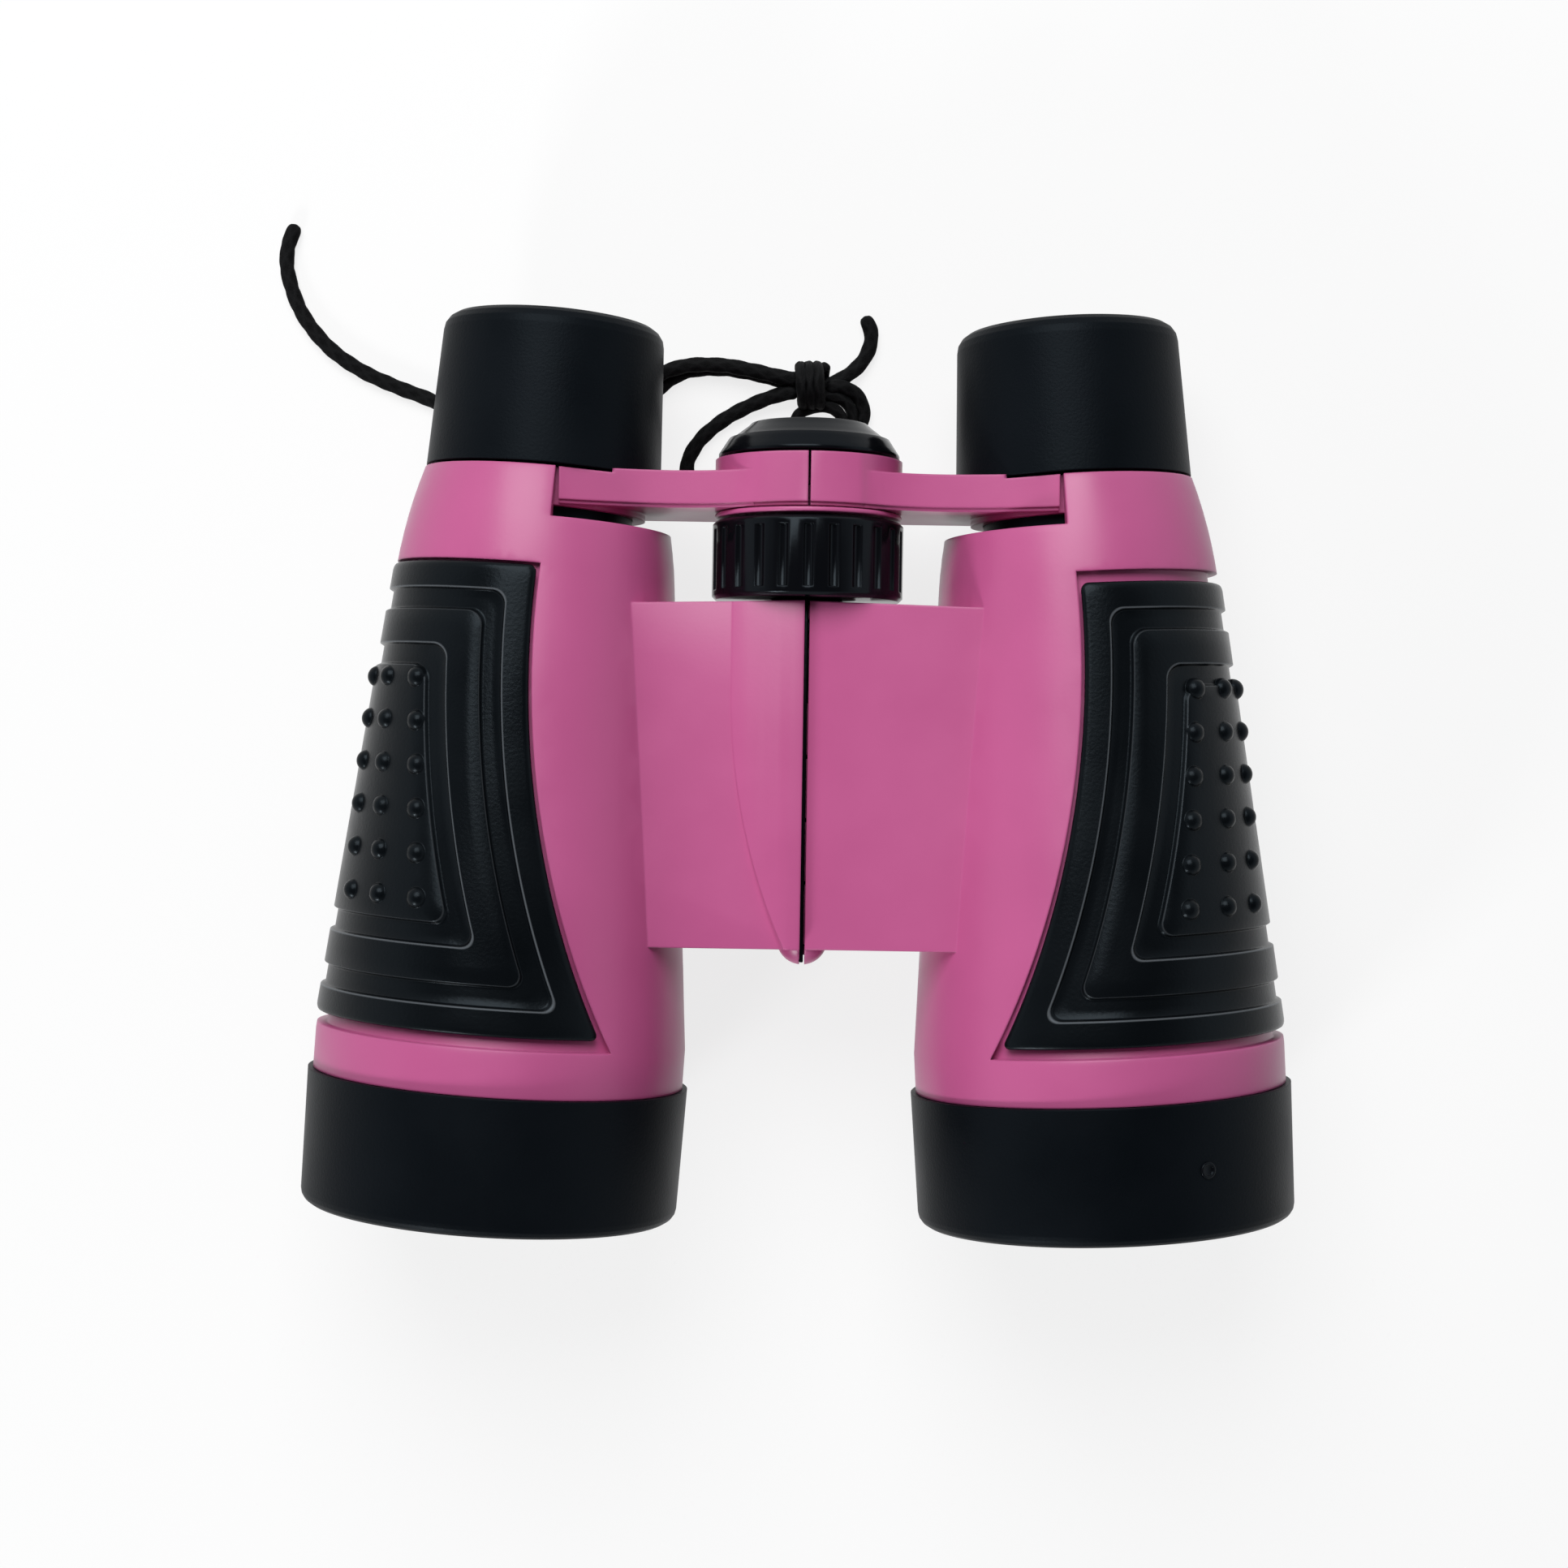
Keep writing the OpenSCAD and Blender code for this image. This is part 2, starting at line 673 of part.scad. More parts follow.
module wheel_clip() {
    color(steel) lying() on_hinge() difference() {
        rod(clip_r, clip_back - clip_t, clip_back);
        rod(journal_r + grip_fit, clip_back - clip_t - cut, clip_back + cut);
    }
}

module focus_screw() {
    color(steel) lying() on_hinge() rod(screw_r, screw_front, screw_front + screw_len);
}

module screw_cap() {
    top = cap_front + cap_h;
    tier_y = cap_front + cap_h * cap_tier_share;
    tier_r = cap_crown_r + (cap_r - cap_crown_r) * cap_tier_share;
    bore_r = screw_r + grip_fit;
    bore_y = screw_front + screw_len + seat_fit;
    color(black) lying() on_hinge() spun([
        [bore_r, cap_front], [cap_r, cap_front], [cap_r, cap_front + cap_step],
        [tier_r + cap_step, tier_y], [tier_r, tier_y],
        [cap_crown_r, top - cap_step], [cap_crown_r - cap_step, top], [0, top],
        [0, bore_y], [bore_r, bore_y]
    ]);
}

module bridge_washer() {
    color(pink) lying() on_hinge() difference() {
        rod(hub_r, washer_front, washer_front + bridge_washer_t);
        rod(screw_r + grip_fit, washer_front - cut, washer_front + bridge_washer_t + cut);
    }
}

// Bridge arm: hub half, saddle-shaped arm and ring round the eyepiece tube

arm_end_x = axis_x - barrel_back * sin(barrel_toe) - notch_x - face_gap;
arm_start_x = hub_r * sin(arm_leave_angle);
arm_start_z = hinge_z + hub_r * cos(arm_leave_angle);
arm_span = arm_end_x - arm_start_x;
arm_start_slope = -tan(arm_leave_angle);
arm_end_slope = arm_start_slope + 8 * ((arm_start_z + arm_end_z) / 2 - arm_saddle_z) / arm_span;

// Height of the arm along its length: it leaves the hub smoothly, dips and rises to the barrel
function arm_top(share) =
    arm_start_z * (1 + 2 * share) * pow(1 - share, 2)
    + arm_end_z * (3 - 2 * share) * pow(share, 2)
    + arm_span * share * (1 - share) * (arm_start_slope * (1 - share) - arm_end_slope * share);

module arm_outline() {
    polygon(concat(
        [for (i = [0 : arm_steps]) [arm_start_x + arm_span * i / arm_steps, arm_top(i / arm_steps)]],
        [[arm_end_x, -arm_depth], [hub_r, -arm_depth], [arm_start_x / 2, hinge_z - knuckle_r / 2]]
    ));
}

module bridge_arm(side) {
    ring_half = (hub_t - knuckle_gap) / 2;
    own_front = side < 0 ? hub_front : hub_back - ring_half;
    other_front = side < 0 ? hub_front + ring_half : hub_front - cut;
    color(pink) lying() on_side(side) difference() {
        union() {
            intersection() {
                union() {
                    on_hinge() {
                        rod(hub_r - arm_rim, hub_front, hub_back);
                        rod(hub_r, hub_front + arm_rim, hub_back);
                    }
                    translate([0, 0, -arm_rim]) standing(hub_front, arm_back) arm_outline();
                    standing(hub_front + arm_rim, arm_back) arm_outline();
                }
                translate([seam_gap / 4, 0, hinge_z - hub_ring_r])
                    translate([0, 0, -ring_r]) cube([axis_x * 2, ring_r * 4, ring_r * 3]);
            }
            on_hinge() rod(hub_ring_r, own_front, own_front + ring_half);
            on_barrel() rod(arm_ring_r, hub_front / cos(barrel_toe), barrel_back);
        }
        on_barrel() rod(cup_base_r + face_gap, barrel_back, cup_tip);
        on_hinge() {
            rod(screw_r + screw_gap, hub_front - cut, hub_back + cut);
            rod(hub_ring_r + face_gap, other_front, other_front + ring_half + knuckle_gap + cut);
            translate([-hub_r, hub_front - cut, -hub_r * 2])
                cube([hub_r * 2, hub_t + cut * 2, hub_r * 2 - hub_ring_r]);
        }
        on_barrel() rod(tube_r + seat_fit, hub_front - cut * 2, barrel_back + cut);
    }
}

module left_bridge_arm() { bridge_arm(-1); }
module right_bridge_arm() { bridge_arm(1); }

// Eyepiece tube, lens and eyecup

shelf_front = cup_tip - well_depth - shelf_t;
tube_back = shelf_front - seat_fit;
eye_lens_r = tube_r - tube_wall - seat_fit;
eye_lens_back = tube_back - seat_fit * 2;
eye_lens_front = eye_lens_back - eye_lens_t;

module eyepiece_tube(side) {
    ledge_r = eye_lens_r - tube_wall / 2;
    ledge_y = eye_lens_front - seat_fit;
    color(black) lying() on_side(side) on_barrel() spun([
        [ledge_r, tube_front], [tube_r, tube_front], [tube_r, tube_back],
        [tube_r - tube_wall, tube_back], [tube_r - tube_wall, ledge_y], [ledge_r, ledge_y]
    ]);
}

module left_eyepiece_tube() { eyepiece_tube(-1); }
module right_eyepiece_tube() { eyepiece_tube(1); }

module eyepiece_lens(side) {
    hollow = eye_lens_t / 3;
    color(glass) lying() on_side(side) on_barrel() difference() {
        rod(eye_lens_r, eye_lens_front, eye_lens_back);
        translate([0, eye_lens_back - hollow + eye_lens_hollow_r, 0]) sphere(r = eye_lens_hollow_r, $fn = 180);
        translate([0, eye_lens_front + hollow - eye_lens_hollow_r, 0]) sphere(r = eye_lens_hollow_r, $fn = 180);
    }
}

module left_eyepiece_lens() { eyepiece_lens(-1); }
module right_eyepiece_lens() { eyepiece_lens(1); }

module eyecup(side) {
    round_at = [cup_tip_r - cup_round, cup_tip - cup_round];
    rounding = [for (i = [0 : corner_steps]) let (a = 90 * i / corner_steps)
        [round_at[0] + cup_round * cos(a), round_at[1] + cup_round * sin(a)]];
    bore_r = tube_r + seat_fit;
    color(black) lying() on_side(side) on_barrel() spun(concat(
        [[bore_r, cup_front], [cup_base_r, cup_front]],
        rounding,
        [[well_r, cup_tip], [well_r, cup_tip - well_depth], [shelf_hole_r, cup_tip - well_depth],
         [shelf_hole_r, shelf_front], [bore_r, shelf_front]]
    ));
}

module left_eyecup() { eyecup(-1); }
module right_eyecup() { eyecup(1); }

// Cord

function unit(v) = v / norm(v);

// Ring of points round one place of a route, square to its run
function cord_ring(route, i) =
    let (
        ahead = unit(route[min(i + 1, len(route) - 1)] - route[max(i - 1, 0)]),
        aside = unit(cross(ahead, [0, 0, 1])),
        above = cross(aside, ahead)
    )
    [for (k = [0 : cord_sides - 1])
        let (a = 360 * (k + 0.5) / cord_sides)
        route[i] + (cord_w * cos(a) * aside + cord_d * sin(a) * above) / 2];

module cord(route) {
    rings = len(route);
    points = [for (i = [0 : rings - 1]) each cord_ring(route, i)];
    walls = [for (i = [0 : rings - 2], k = [0 : cord_sides - 1])
        let (a = i * cord_sides + k, b = i * cord_sides + (k + 1) % cord_sides)
        each [[a, a + cord_sides, b], [b, a + cord_sides, b + cord_sides]]];
    last = (rings - 1) * cord_sides;
    ends = [for (k = [1 : cord_sides - 2]) each [[0, k, k + 1], [last, last + k + 1, last + k]]];
    color(black) polyhedron(concat(points), concat(walls, ends));
}

module neck_cord() { cord(neck_cord_route); }
module lug_cord() { cord(lug_cord_route); }
module cord_loop() { cord(cord_loop_route); }

// Knot: turns of cord drawn tight round the strands that run through it
module cord_knot() {
    turn_r = cord_d * knot_core_share;
    color(black) translate(knot_at) rotate([0, 90, 0]) {
        cylinder(r = turn_r, h = cord_d * knot_turns, center = true, $fn = 48);
        for (turn = [0 : knot_turns - 1])
            translate([0, 0, (turn - (knot_turns - 1) / 2) * cord_d]) rotate_extrude($fn = 48)
                translate([turn_r, 0]) circle(r = cord_r, $fn = 24);
    }
}

// Loop of cord tied through a lug
module lug_loop(side) {
    loop_r = lug_t / 2 + cord_r + face_gap / 2;
    color(black) lying() on_side(side) on_barrel() translate([0, lug_y, 0]) rotate([0, lug_angle, 0])
        translate([outer_r(lug_y) + lug_out + lug_ring_r, 0, 0]) rotate([90, 0, 0])
            rotate_extrude($fn = 48) translate([loop_r, 0]) circle(r = cord_r, $fn = 24);
}

module left_lug_loop() { lug_loop(-1); }
module right_lug_loop() { lug_loop(1); }

left_barrel();
right_barrel();
left_grip();
right_grip();
left_objective_ring();
right_objective_ring();
left_objective_lens();
right_objective_lens();
left_lens_washer();
right_lens_washer();
hinge_pin();
focus_wheel();
wheel_clip();
focus_screw();
screw_cap();
bridge_washer();
left_bridge_arm();
right_bridge_arm();
left_eyepiece_tube();
right_eyepiece_tube();
left_eyecup();
right_eyecup();
left_eyepiece_lens();
right_eyepiece_lens();
cord_knot();
neck_cord();
lug_cord();
cord_loop();
left_lug_loop();
right_lug_loop();
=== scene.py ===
"""Looks of the toy binoculars: finishes, soft grips, braided cord, light and camera."""

import json
import logging
import math
from collections.abc import Callable, Iterator
from contextlib import contextmanager
from dataclasses import dataclass, field
from enum import Enum

import bpy
from mathutils import Matrix, Vector


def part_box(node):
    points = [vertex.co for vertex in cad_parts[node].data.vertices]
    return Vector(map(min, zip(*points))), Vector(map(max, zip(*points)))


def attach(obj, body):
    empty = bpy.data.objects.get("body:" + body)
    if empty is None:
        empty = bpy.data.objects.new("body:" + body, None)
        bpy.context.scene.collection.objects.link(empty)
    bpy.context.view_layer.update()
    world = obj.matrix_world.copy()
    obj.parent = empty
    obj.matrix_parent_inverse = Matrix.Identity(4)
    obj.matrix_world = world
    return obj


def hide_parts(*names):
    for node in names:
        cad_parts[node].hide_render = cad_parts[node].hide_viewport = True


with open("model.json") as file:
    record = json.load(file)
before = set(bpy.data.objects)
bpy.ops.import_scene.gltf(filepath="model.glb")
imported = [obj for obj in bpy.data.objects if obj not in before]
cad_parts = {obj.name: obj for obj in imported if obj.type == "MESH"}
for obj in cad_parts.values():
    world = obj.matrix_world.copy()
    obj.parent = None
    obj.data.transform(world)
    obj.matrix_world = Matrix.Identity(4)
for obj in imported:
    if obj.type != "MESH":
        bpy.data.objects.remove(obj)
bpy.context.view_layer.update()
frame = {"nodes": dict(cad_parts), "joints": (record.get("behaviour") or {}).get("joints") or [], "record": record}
MM = 0.001
MERGE = 0.002 * MM  # places of a mesh that are nearer than this become one
Colour = tuple[float, float, float]
Place = tuple[float, float, float]
Piece = bpy.types.Object
Socket = bpy.types.NodeSocket
Tree = bpy.types.NodeTree
WORLD_X = Vector((1.0, 0.0, 0.0))
WORLD_Z = Vector((0.0, 0.0, 1.0))
LOG = logging.getLogger("binoculars")


class Side(Enum):
    """The two halves of the binoculars."""

    LEFT = -1
    RIGHT = 1

    @property
    def word(self) -> str:
        """Name that the half's nodes start with."""
        return self.name.lower()


class Slot(Enum):
    """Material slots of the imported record."""

    PINK = "pink_plastic"
    BLACK = "black_plastic"
    RUBBER = "black_rubber"
    GLOSS = "gloss_black"
    STEEL = "steel"
    LENS = "clear_lens"
    CORD = "cord"


@dataclass(frozen=True)
class RestFrame:
    """Directions of the object as it lies: along its hinge, up from its barrels, and its hinge's middle."""

    along: Vector
    up: Vector
    hinge: Vector

    @classmethod
    def from_record(cls) -> "RestFrame":
        """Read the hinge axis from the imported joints.

        Returns:
            The frame in which the barrels lie level.
        """
        fold = next(joint for joint in frame["joints"] if joint["name"] == "fold")
        along = Vector(fold["axis"]).normalized()
        up = WORLD_X.cross(along)
        return cls(along, up, Vector(fold["pos_m"]))

    def level(self, x: float, y: float, z: float) -> Vector:
        """Place in the row frame of a point right of, along and above the hinge's middle, in metres."""
        return self.hinge + WORLD_X * x + self.along * y + self.up * z


@dataclass(frozen=True)
class BarrelFrame:
    """One barrel's axis: a place on it, its direction towards the eyepiece, its outer side and up."""

    side: Side
    middle: Vector
    along: Vector
    out: Vector
    up: Vector

    @classmethod
    def from_record(cls, side: Side, rest: RestFrame) -> "BarrelFrame":
        """Read a barrel's axis from the mount of its eyepiece's well.

        Args:
            side: Which barrel.
            rest: The frame in which the barrels lie level.

        Returns:
            The barrel's own frame, with its middle beside the hinge's middle.
        """
        mounts = {mount["name"]: mount for mount in frame["record"]["mounts"]}
        eye = mounts[f"{side.word}_eye_well"]
        along = Vector(eye["axis"]).normalized()
        place = Vector(eye["pos_m"])
        run = (place - rest.hinge).dot(rest.along) / along.dot(rest.along)
        out = along.cross(rest.up) * side.value
        return cls(side, place - along * run, along, out.normalized(), rest.up)

    def at(self, out: float, along: float, up: float) -> Vector:
        """Place in the row frame of a point given in the barrel's frame, in metres."""
        return self.middle + self.out * out + self.along * along + self.up * up


class Nodes:
    """A node tree with short calls for the nodes that the finishes and the stage share."""

    def __init__(self, tree: Tree) -> None:
        """Work on a tree."""
        self.tree = tree

    def node(self, kind: str, **inputs: object) -> bpy.types.Node:
        """Add a node and set its inputs.

        Args:
            kind: Node type.
            inputs: Values or sockets for its inputs, spaces written as underscores.

        Returns:
            The new node.
        """
        made = self.tree.nodes.new(kind)
        self.fill(made, inputs)
        return made

    def fill(self, node: bpy.types.Node, inputs: dict[str, object]) -> None:
        """Set or link a node's inputs, named with spaces written as underscores."""
        for key, value in inputs.items():
            self.feed(node.inputs[key.replace("_", " ")], value)

    def feed(self, target: Socket, value: object) -> None:
        """Link an input to a socket, or set its value.

        Args:
            target: The input.
            value: A socket or a plain value.
        """
        if isinstance(value, Socket):
            self.tree.links.new(value, target)
        else:
            target.default_value = value

    def math(self, operation: str, *values: object) -> Socket:
        """Reckon with values or sockets.

        Args:
            operation: Kind of sum.
            values: Its terms in order.

        Returns:
            The result's socket.
        """
        made = self.tree.nodes.new("ShaderNodeMath")
        made.operation = operation
        for target, value in zip(made.inputs, values):
            self.feed(target, value)
        return made.outputs["Value"]

    def span(self, **inputs: object) -> Socket:
        """Stretch a value over another range, by the inputs of a Map Range node."""
        return self.node("ShaderNodeMapRange", **inputs).outputs["Result"]


class Shader(Nodes):
    """A material's node tree with one Principled shader."""

    BEVEL_SAMPLES = 6

    def __init__(self, name: str) -> None:
        """Start a material."""
        self.material = bpy.data.materials.new(name)
        self.material.use_nodes = True
        super().__init__(self.material.node_tree)
        self.bsdf = self.tree.nodes["Principled BSDF"]
        self.place = self.node("ShaderNodeTexCoord").outputs["Object"]

    def group(self, tree: Tree, **inputs: object) -> bpy.types.Node:
        """Add a shared node group, with its place input on Object coordinates.

        Args:
            tree: The group.
            inputs: Values for its sockets, spaces written as underscores.

        Returns:
            The group node.
        """
        made = self.tree.nodes.new("ShaderNodeGroup")
        made.node_tree = tree
        self.fill(made, {"Place": self.place, **inputs})
        return made

    def blend(self, mask: Socket, low: object, high: Colour) -> Socket:
        """Mix two colours by a mask.

        Args:
            mask: Socket from 0 to 1.
            low: Colour at 0, or its socket.
            high: Colour at 1.

        Returns:
            The mixed colour's socket.
        """
        mix = self.tree.nodes.new("ShaderNodeMix")
        mix.data_type = "RGBA"
        first = low if isinstance(low, Socket) else (*low, 1.0)
        self.fill(mix, {"Factor": mask, "A": first, "B": (*high, 1.0)})
        return mix.outputs["Result"]

    def attribute(self, name: str) -> Socket:
        """Read a float attribute of the mesh.

        Args:
            name: Its name.

        Returns:
            The value's socket.
        """
        made = self.tree.nodes.new("ShaderNodeAttribute")
        made.attribute_name = name
        return made.outputs["Fac"]

    def relief(self, height: Socket, depth: float, edge: float = 0.0) -> None:
        """Give the surface a bump, and soft edges where wanted.

        Args:
            height: Height socket from 0 to 1.
            depth: Depth of the bump in metres.
            edge: Radius of the soft edges in metres, or none.
        """
        bump = self.node("ShaderNodeBump", Strength=1.0, Distance=depth, Height=height)
        if edge:
            bevel = self.node("ShaderNodeBevel", Radius=edge)
            bevel.samples = self.BEVEL_SAMPLES
            self.fill(bump, {"Normal": bevel.outputs["Normal"]})
        self.set(Normal=bump.outputs["Normal"])

    def set(self, **inputs: object) -> None:
        """Set or link inputs of the Principled shader, spaces written as underscores."""
        self.fill(self.bsdf, inputs)


class Effects:
    """Node groups that several finishes share."""

    NOISE_RANGE = (0.3, 0.7)
    SCUFF_TURN = (0.4, 0.2, 0.7)
    SCUFF_STRETCH = (1.0, 0.06, 1.0)

    @staticmethod
    def start(name: str, inputs: dict[str, float], outputs: tuple[str, ...]) -> Tree:
        """Make an empty group with a place input.

        Args:
            name: Group name.
            inputs: Names and defaults of its float inputs.
            outputs: Names of its float outputs.

        Returns:
            The group with its input and output nodes.
        """
        tree = bpy.data.node_groups.new(name, "ShaderNodeTree")
        tree.interface.new_socket("Place", in_out="INPUT", socket_type="NodeSocketVector")
        for label, value in inputs.items():
            socket = tree.interface.new_socket(label, in_out="INPUT", socket_type="NodeSocketFloat")
            socket.default_value = value
        for label in outputs:
            tree.interface.new_socket(label, in_out="OUTPUT", socket_type="NodeSocketFloat")
        tree.nodes.new("NodeGroupInput")
        tree.nodes.new("NodeGroupOutput")
        return tree

    @classmethod
    def grain(cls) -> Tree:
        """Moulded grain: fine relief and slow clouding.

        Returns:
            A group with Height and Cloud outputs, both from 0 to 1.
        """
        tree = cls.start("Moulded grain", {"Fine": 4000.0, "Coarse": 90.0}, ("Height", "Cloud"))
        nodes, given = Nodes(tree), tree.nodes["Group Input"].outputs
        least, most = cls.NOISE_RANGE
        for label, scale, detail in (("Height", "Fine", 2.0), ("Cloud", "Coarse", 4.0)):
            noise = nodes.node("ShaderNodeTexNoise", Vector=given["Place"], Scale=given[scale], Detail=detail)
            value = nodes.span(Value=noise.outputs["Fac"], From_Min=least, From_Max=most)
            nodes.fill(tree.nodes["Group Output"], {label: value})
        return tree

    @classmethod
    def scuffs(cls) -> Tree:
        """Handling scuffs: sparse fine streaks.

        Returns:
            A group with a Mask output from 0 to 1.
        """
        tree = cls.start("Handling scuffs", {"Scale": 700.0, "Amount": 0.35}, ("Mask",))
        nodes, given = Nodes(tree), tree.nodes["Group Input"].outputs
        stretch = nodes.node("ShaderNodeMapping", Vector=given["Place"], Rotation=cls.SCUFF_TURN,
                             Scale=cls.SCUFF_STRETCH)
        noise = nodes.node("ShaderNodeTexNoise", Vector=stretch.outputs["Vector"], Scale=given["Scale"],
                           Detail=3.0)
        least = nodes.math("SUBTRACT", 1.0, given["Amount"])
        mask = nodes.span(Value=noise.outputs["Fac"], From_Min=least, From_Max=1.0)
        nodes.fill(tree.nodes["Group Output"], {"Mask": mask})
        return tree


@dataclass(frozen=True)
class Finish:
    """A finish: two tones, two roughnesses, grain, and soft edges, scuffs and painted highlight lines where
    wanted.

    Clouding picks the tone, or else the mesh attribute named in mask. More holds further shader inputs.
    """

    name: str
    tone: Colour
    clouded: Colour
    smooth: float
    dull: float
    grain_depth: float
    grain_scale: float
    edge: float = 0.0
    scuffed: float = 0.35
    cloud_dulls: bool = True
    mask: str = ""
    rubbed: Colour | None = None
    more: dict[str, object] = field(default_factory=dict)

    def material(self, grain: Tree, scuffs: Tree) -> bpy.types.Material:
        """Build the material.

        Args:
            grain: Shared grain group.
            scuffs: Shared scuff group.

        Returns:
            The finished material.
        """
        shader = Shader(self.name)
        skin = shader.group(grain, Fine=self.grain_scale).outputs
        pick = shader.attribute(self.mask) if self.mask else skin["Cloud"]
        colour = shader.blend(pick, self.tone, self.clouded)
        # Painted highlight: a lighter tone where the mesh carries a highlight value, standing for light on the
        # grip's channel lips.
        if self.rubbed:
            colour = shader.blend(shader.attribute("rub"), colour, self.rubbed)
        marks = shader.group(scuffs, Amount=self.scuffed).outputs["Mask"] if self.scuffed else 0.0
        worn = shader.math("MAXIMUM", skin["Cloud"] if self.cloud_dulls else 0.0, marks)
        rough = shader.span(Value=worn, To_Min=self.smooth, To_Max=self.dull)
        shader.set(Base_Color=colour, Roughness=rough, **self.more)
        if self.grain_depth:
            shader.relief(skin["Height"], self.grain_depth, self.edge)
        return shader.material


COOL = {"Specular_Tint": (0.72, 0.88, 1.0, 1.0)}
FINISHES = {
    Slot.PINK: Finish("pink_moulding", (0.50, 0.096, 0.258), (0.53, 0.103, 0.276), 0.30, 0.42,
                      0.003 * MM, 2600.0, 0.28 * MM, more={"Specular_IOR_Level": 0.4}),
    Slot.BLACK: Finish("matt_black_moulding", (0.0024, 0.0034, 0.0048), (0.0036, 0.0048, 0.0066), 0.38, 0.48,
                       0.008 * MM, 3600.0, 0.22 * MM, more={"Specular_IOR_Level": 0.06, **COOL}),
    # The rubber's lighter second tone is a painted highlight for the grip's channel lips, not wear.
    Slot.RUBBER: Finish("soft_black_rubber", (0.0022, 0.0030, 0.0040), (0.0034, 0.0044, 0.0056), 0.22, 0.32,
                        0.006 * MM, 3000.0, 0.1 * MM, rubbed=(0.085, 0.094, 0.104),
                        more={"Specular_IOR_Level": 0.10, **COOL}),
    Slot.GLOSS: Finish("gloss_black_moulding", (0.0022, 0.0024, 0.0034), (0.0036, 0.0038, 0.0050), 0.12, 0.22,
                       0.002 * MM, 2200.0, 0.2 * MM, more={"Specular_IOR_Level": 0.12, **COOL}),
    # Steel toned near black as painted shade, so that the hinge pin in the shaded seam reads dark.
    Slot.STEEL: Finish("blackened_steel", (0.07, 0.07, 0.075), (0.10, 0.10, 0.105), 0.24, 0.42,
                       0.004 * MM, 2500.0, 0.1 * MM, scuffed=0.5, cloud_dulls=False, more={"Metallic": 1.0}),
    Slot.LENS: Finish("clear_moulded_lens", (0.93, 0.95, 0.98), (0.97, 0.98, 1.0), 0.01, 0.04,
                      0.0, 900.0, scuffed=0.0, more={"Transmission_Weight": 1.0, "IOR": 1.49}),
    # The braid's tone follows its strand height: painted shade in the grooves, against lighter crowns.
    Slot.CORD: Finish("black_round_braid", (0.0016, 0.0017, 0.0020), (0.0062, 0.0064, 0.0070), 0.55, 0.75,
                      0.03 * MM, 9000.0, scuffed=0.0, mask="strand", more={"Specular_IOR_Level": 0.08}),
}


class Wardrobe:
    """All finished materials, by slot."""

    def __init__(self) -> None:
        """Build each finish once."""
        grain, scuffs = Effects.grain(), Effects.scuffs()
        self.by_slot = {slot: finish.material(grain, scuffs) for slot, finish in FINISHES.items()}

    def dress(self, piece: Piece, slot: Slot) -> None:
        """Give a piece its only material.

        Args:
            piece: The object.
            slot: Its slot in the record.
        """
        piece.data.materials.clear()
        piece.data.materials.append(self.by_slot[slot])

    def dress_nodes(self) -> None:
        """Give every CAD node the finish of its slot in the record."""
        for part in frame["record"]["subparts"]:
            node = frame["nodes"][part["node"]]
            node.data.materials.clear()
            node.data.materials.append(self.by_slot[Slot(part["material_slot"])])


def deselect() -> None:
    """Leave nothing selected."""
    if bpy.context.object and bpy.context.object.mode != "OBJECT":
        bpy.ops.object.mode_set(mode="OBJECT")
    bpy.ops.object.select_all(action="DESELECT")


def only(piece: Piece) -> None:
    """Select one object and make it the active one.

    Args:
        piece: The object.
    """
    deselect()
    bpy.context.view_layer.objects.active = piece
    piece.select_set(True)


def named(name: str) -> Piece:
    """Name the object that an operator has just added, and its mesh.

    Args:
        name: New name.

    Returns:
        The object.
    """
    piece = bpy.context.object
    piece.name = piece.data.name = name
    return piece


def apply_modifier(piece: Piece, kind: str, **values: object) -> None:
    """Add a modifier with these values and apply it.

    Args:
        piece: The mesh object.
        kind: Modifier type.
        values: Its settings.
    """
    only(piece)
    modifier = piece.modifiers.new(kind.lower(), kind)
    for key, value in values.items():
        setattr(modifier, key, value)
    bpy.ops.object.modifier_apply(modifier=modifier.name)


def shade(piece: Piece, degrees: float = 35.0) -> None:
    """Smooth a piece, apart from edges sharper than an angle."""
    only(piece)
    bpy.ops.object.shade_smooth_by_angle(angle=math.radians(degrees))


@contextmanager
def editing(action: str = "SELECT") -> Iterator[None]:
    """Work on the active mesh in edit mode.

    Args:
        action: Whether to SELECT or DESELECT all of it first.

    Yields:
        Nothing; object mode follows.
    """
    bpy.ops.object.mode_set(mode="EDIT")
    bpy.ops.mesh.select_all(action=action)
    yield
    bpy.ops.object.mode_set(mode="OBJECT")


def rolled(name: str, columns: int, rows: int, attribute: str,
           at: Callable[[int, int], tuple[Vector, float]]) -> Piece:
    """Roll a grid into a surface that closes on itself.

    Args:
        name: Name of the piece.
        columns: Cells round the surface.
        rows: Cells along it.
        attribute: Name of the value that each place carries for the finish.
        at: Gives the place and its value for a column and a row.

    Returns:
        The piece, with double places merged.
    """
    deselect()
    bpy.ops.mesh.primitive_grid_add(x_subdivisions=columns, y_subdivisions=rows, size=2.0)
    piece = named(name)
    values = piece.data.attributes.new(attribute, "FLOAT", "POINT")
    for vertex in piece.data.vertices:
        column = round((vertex.co.x + 1) / 2 * columns) % columns
        row = round((vertex.co.y + 1) / 2 * rows)
        vertex.co, values.data[vertex.index].value = at(column, row)
    with editing():
        bpy.ops.mesh.remove_doubles(threshold=MERGE)
    return piece


def stand(piece: Piece, place: Vector, normal: Vector) -> None:
    """Stand a mesh that was modelled about the origin on a place, with its Z along a normal."""
    turn = normal.to_track_quat("Z", "Y").to_matrix().to_4x4()
    piece.data.transform(Matrix.Translation(place) @ turn)


def join(piece: Piece, others: list[Piece]) -> None:
    """Join other objects into a piece.

    Args:
        piece: The object that stays.
        others: The objects that go into it.
    """
    only(piece)
    for other in others:
        other.select_set(True)
    bpy.ops.object.join()


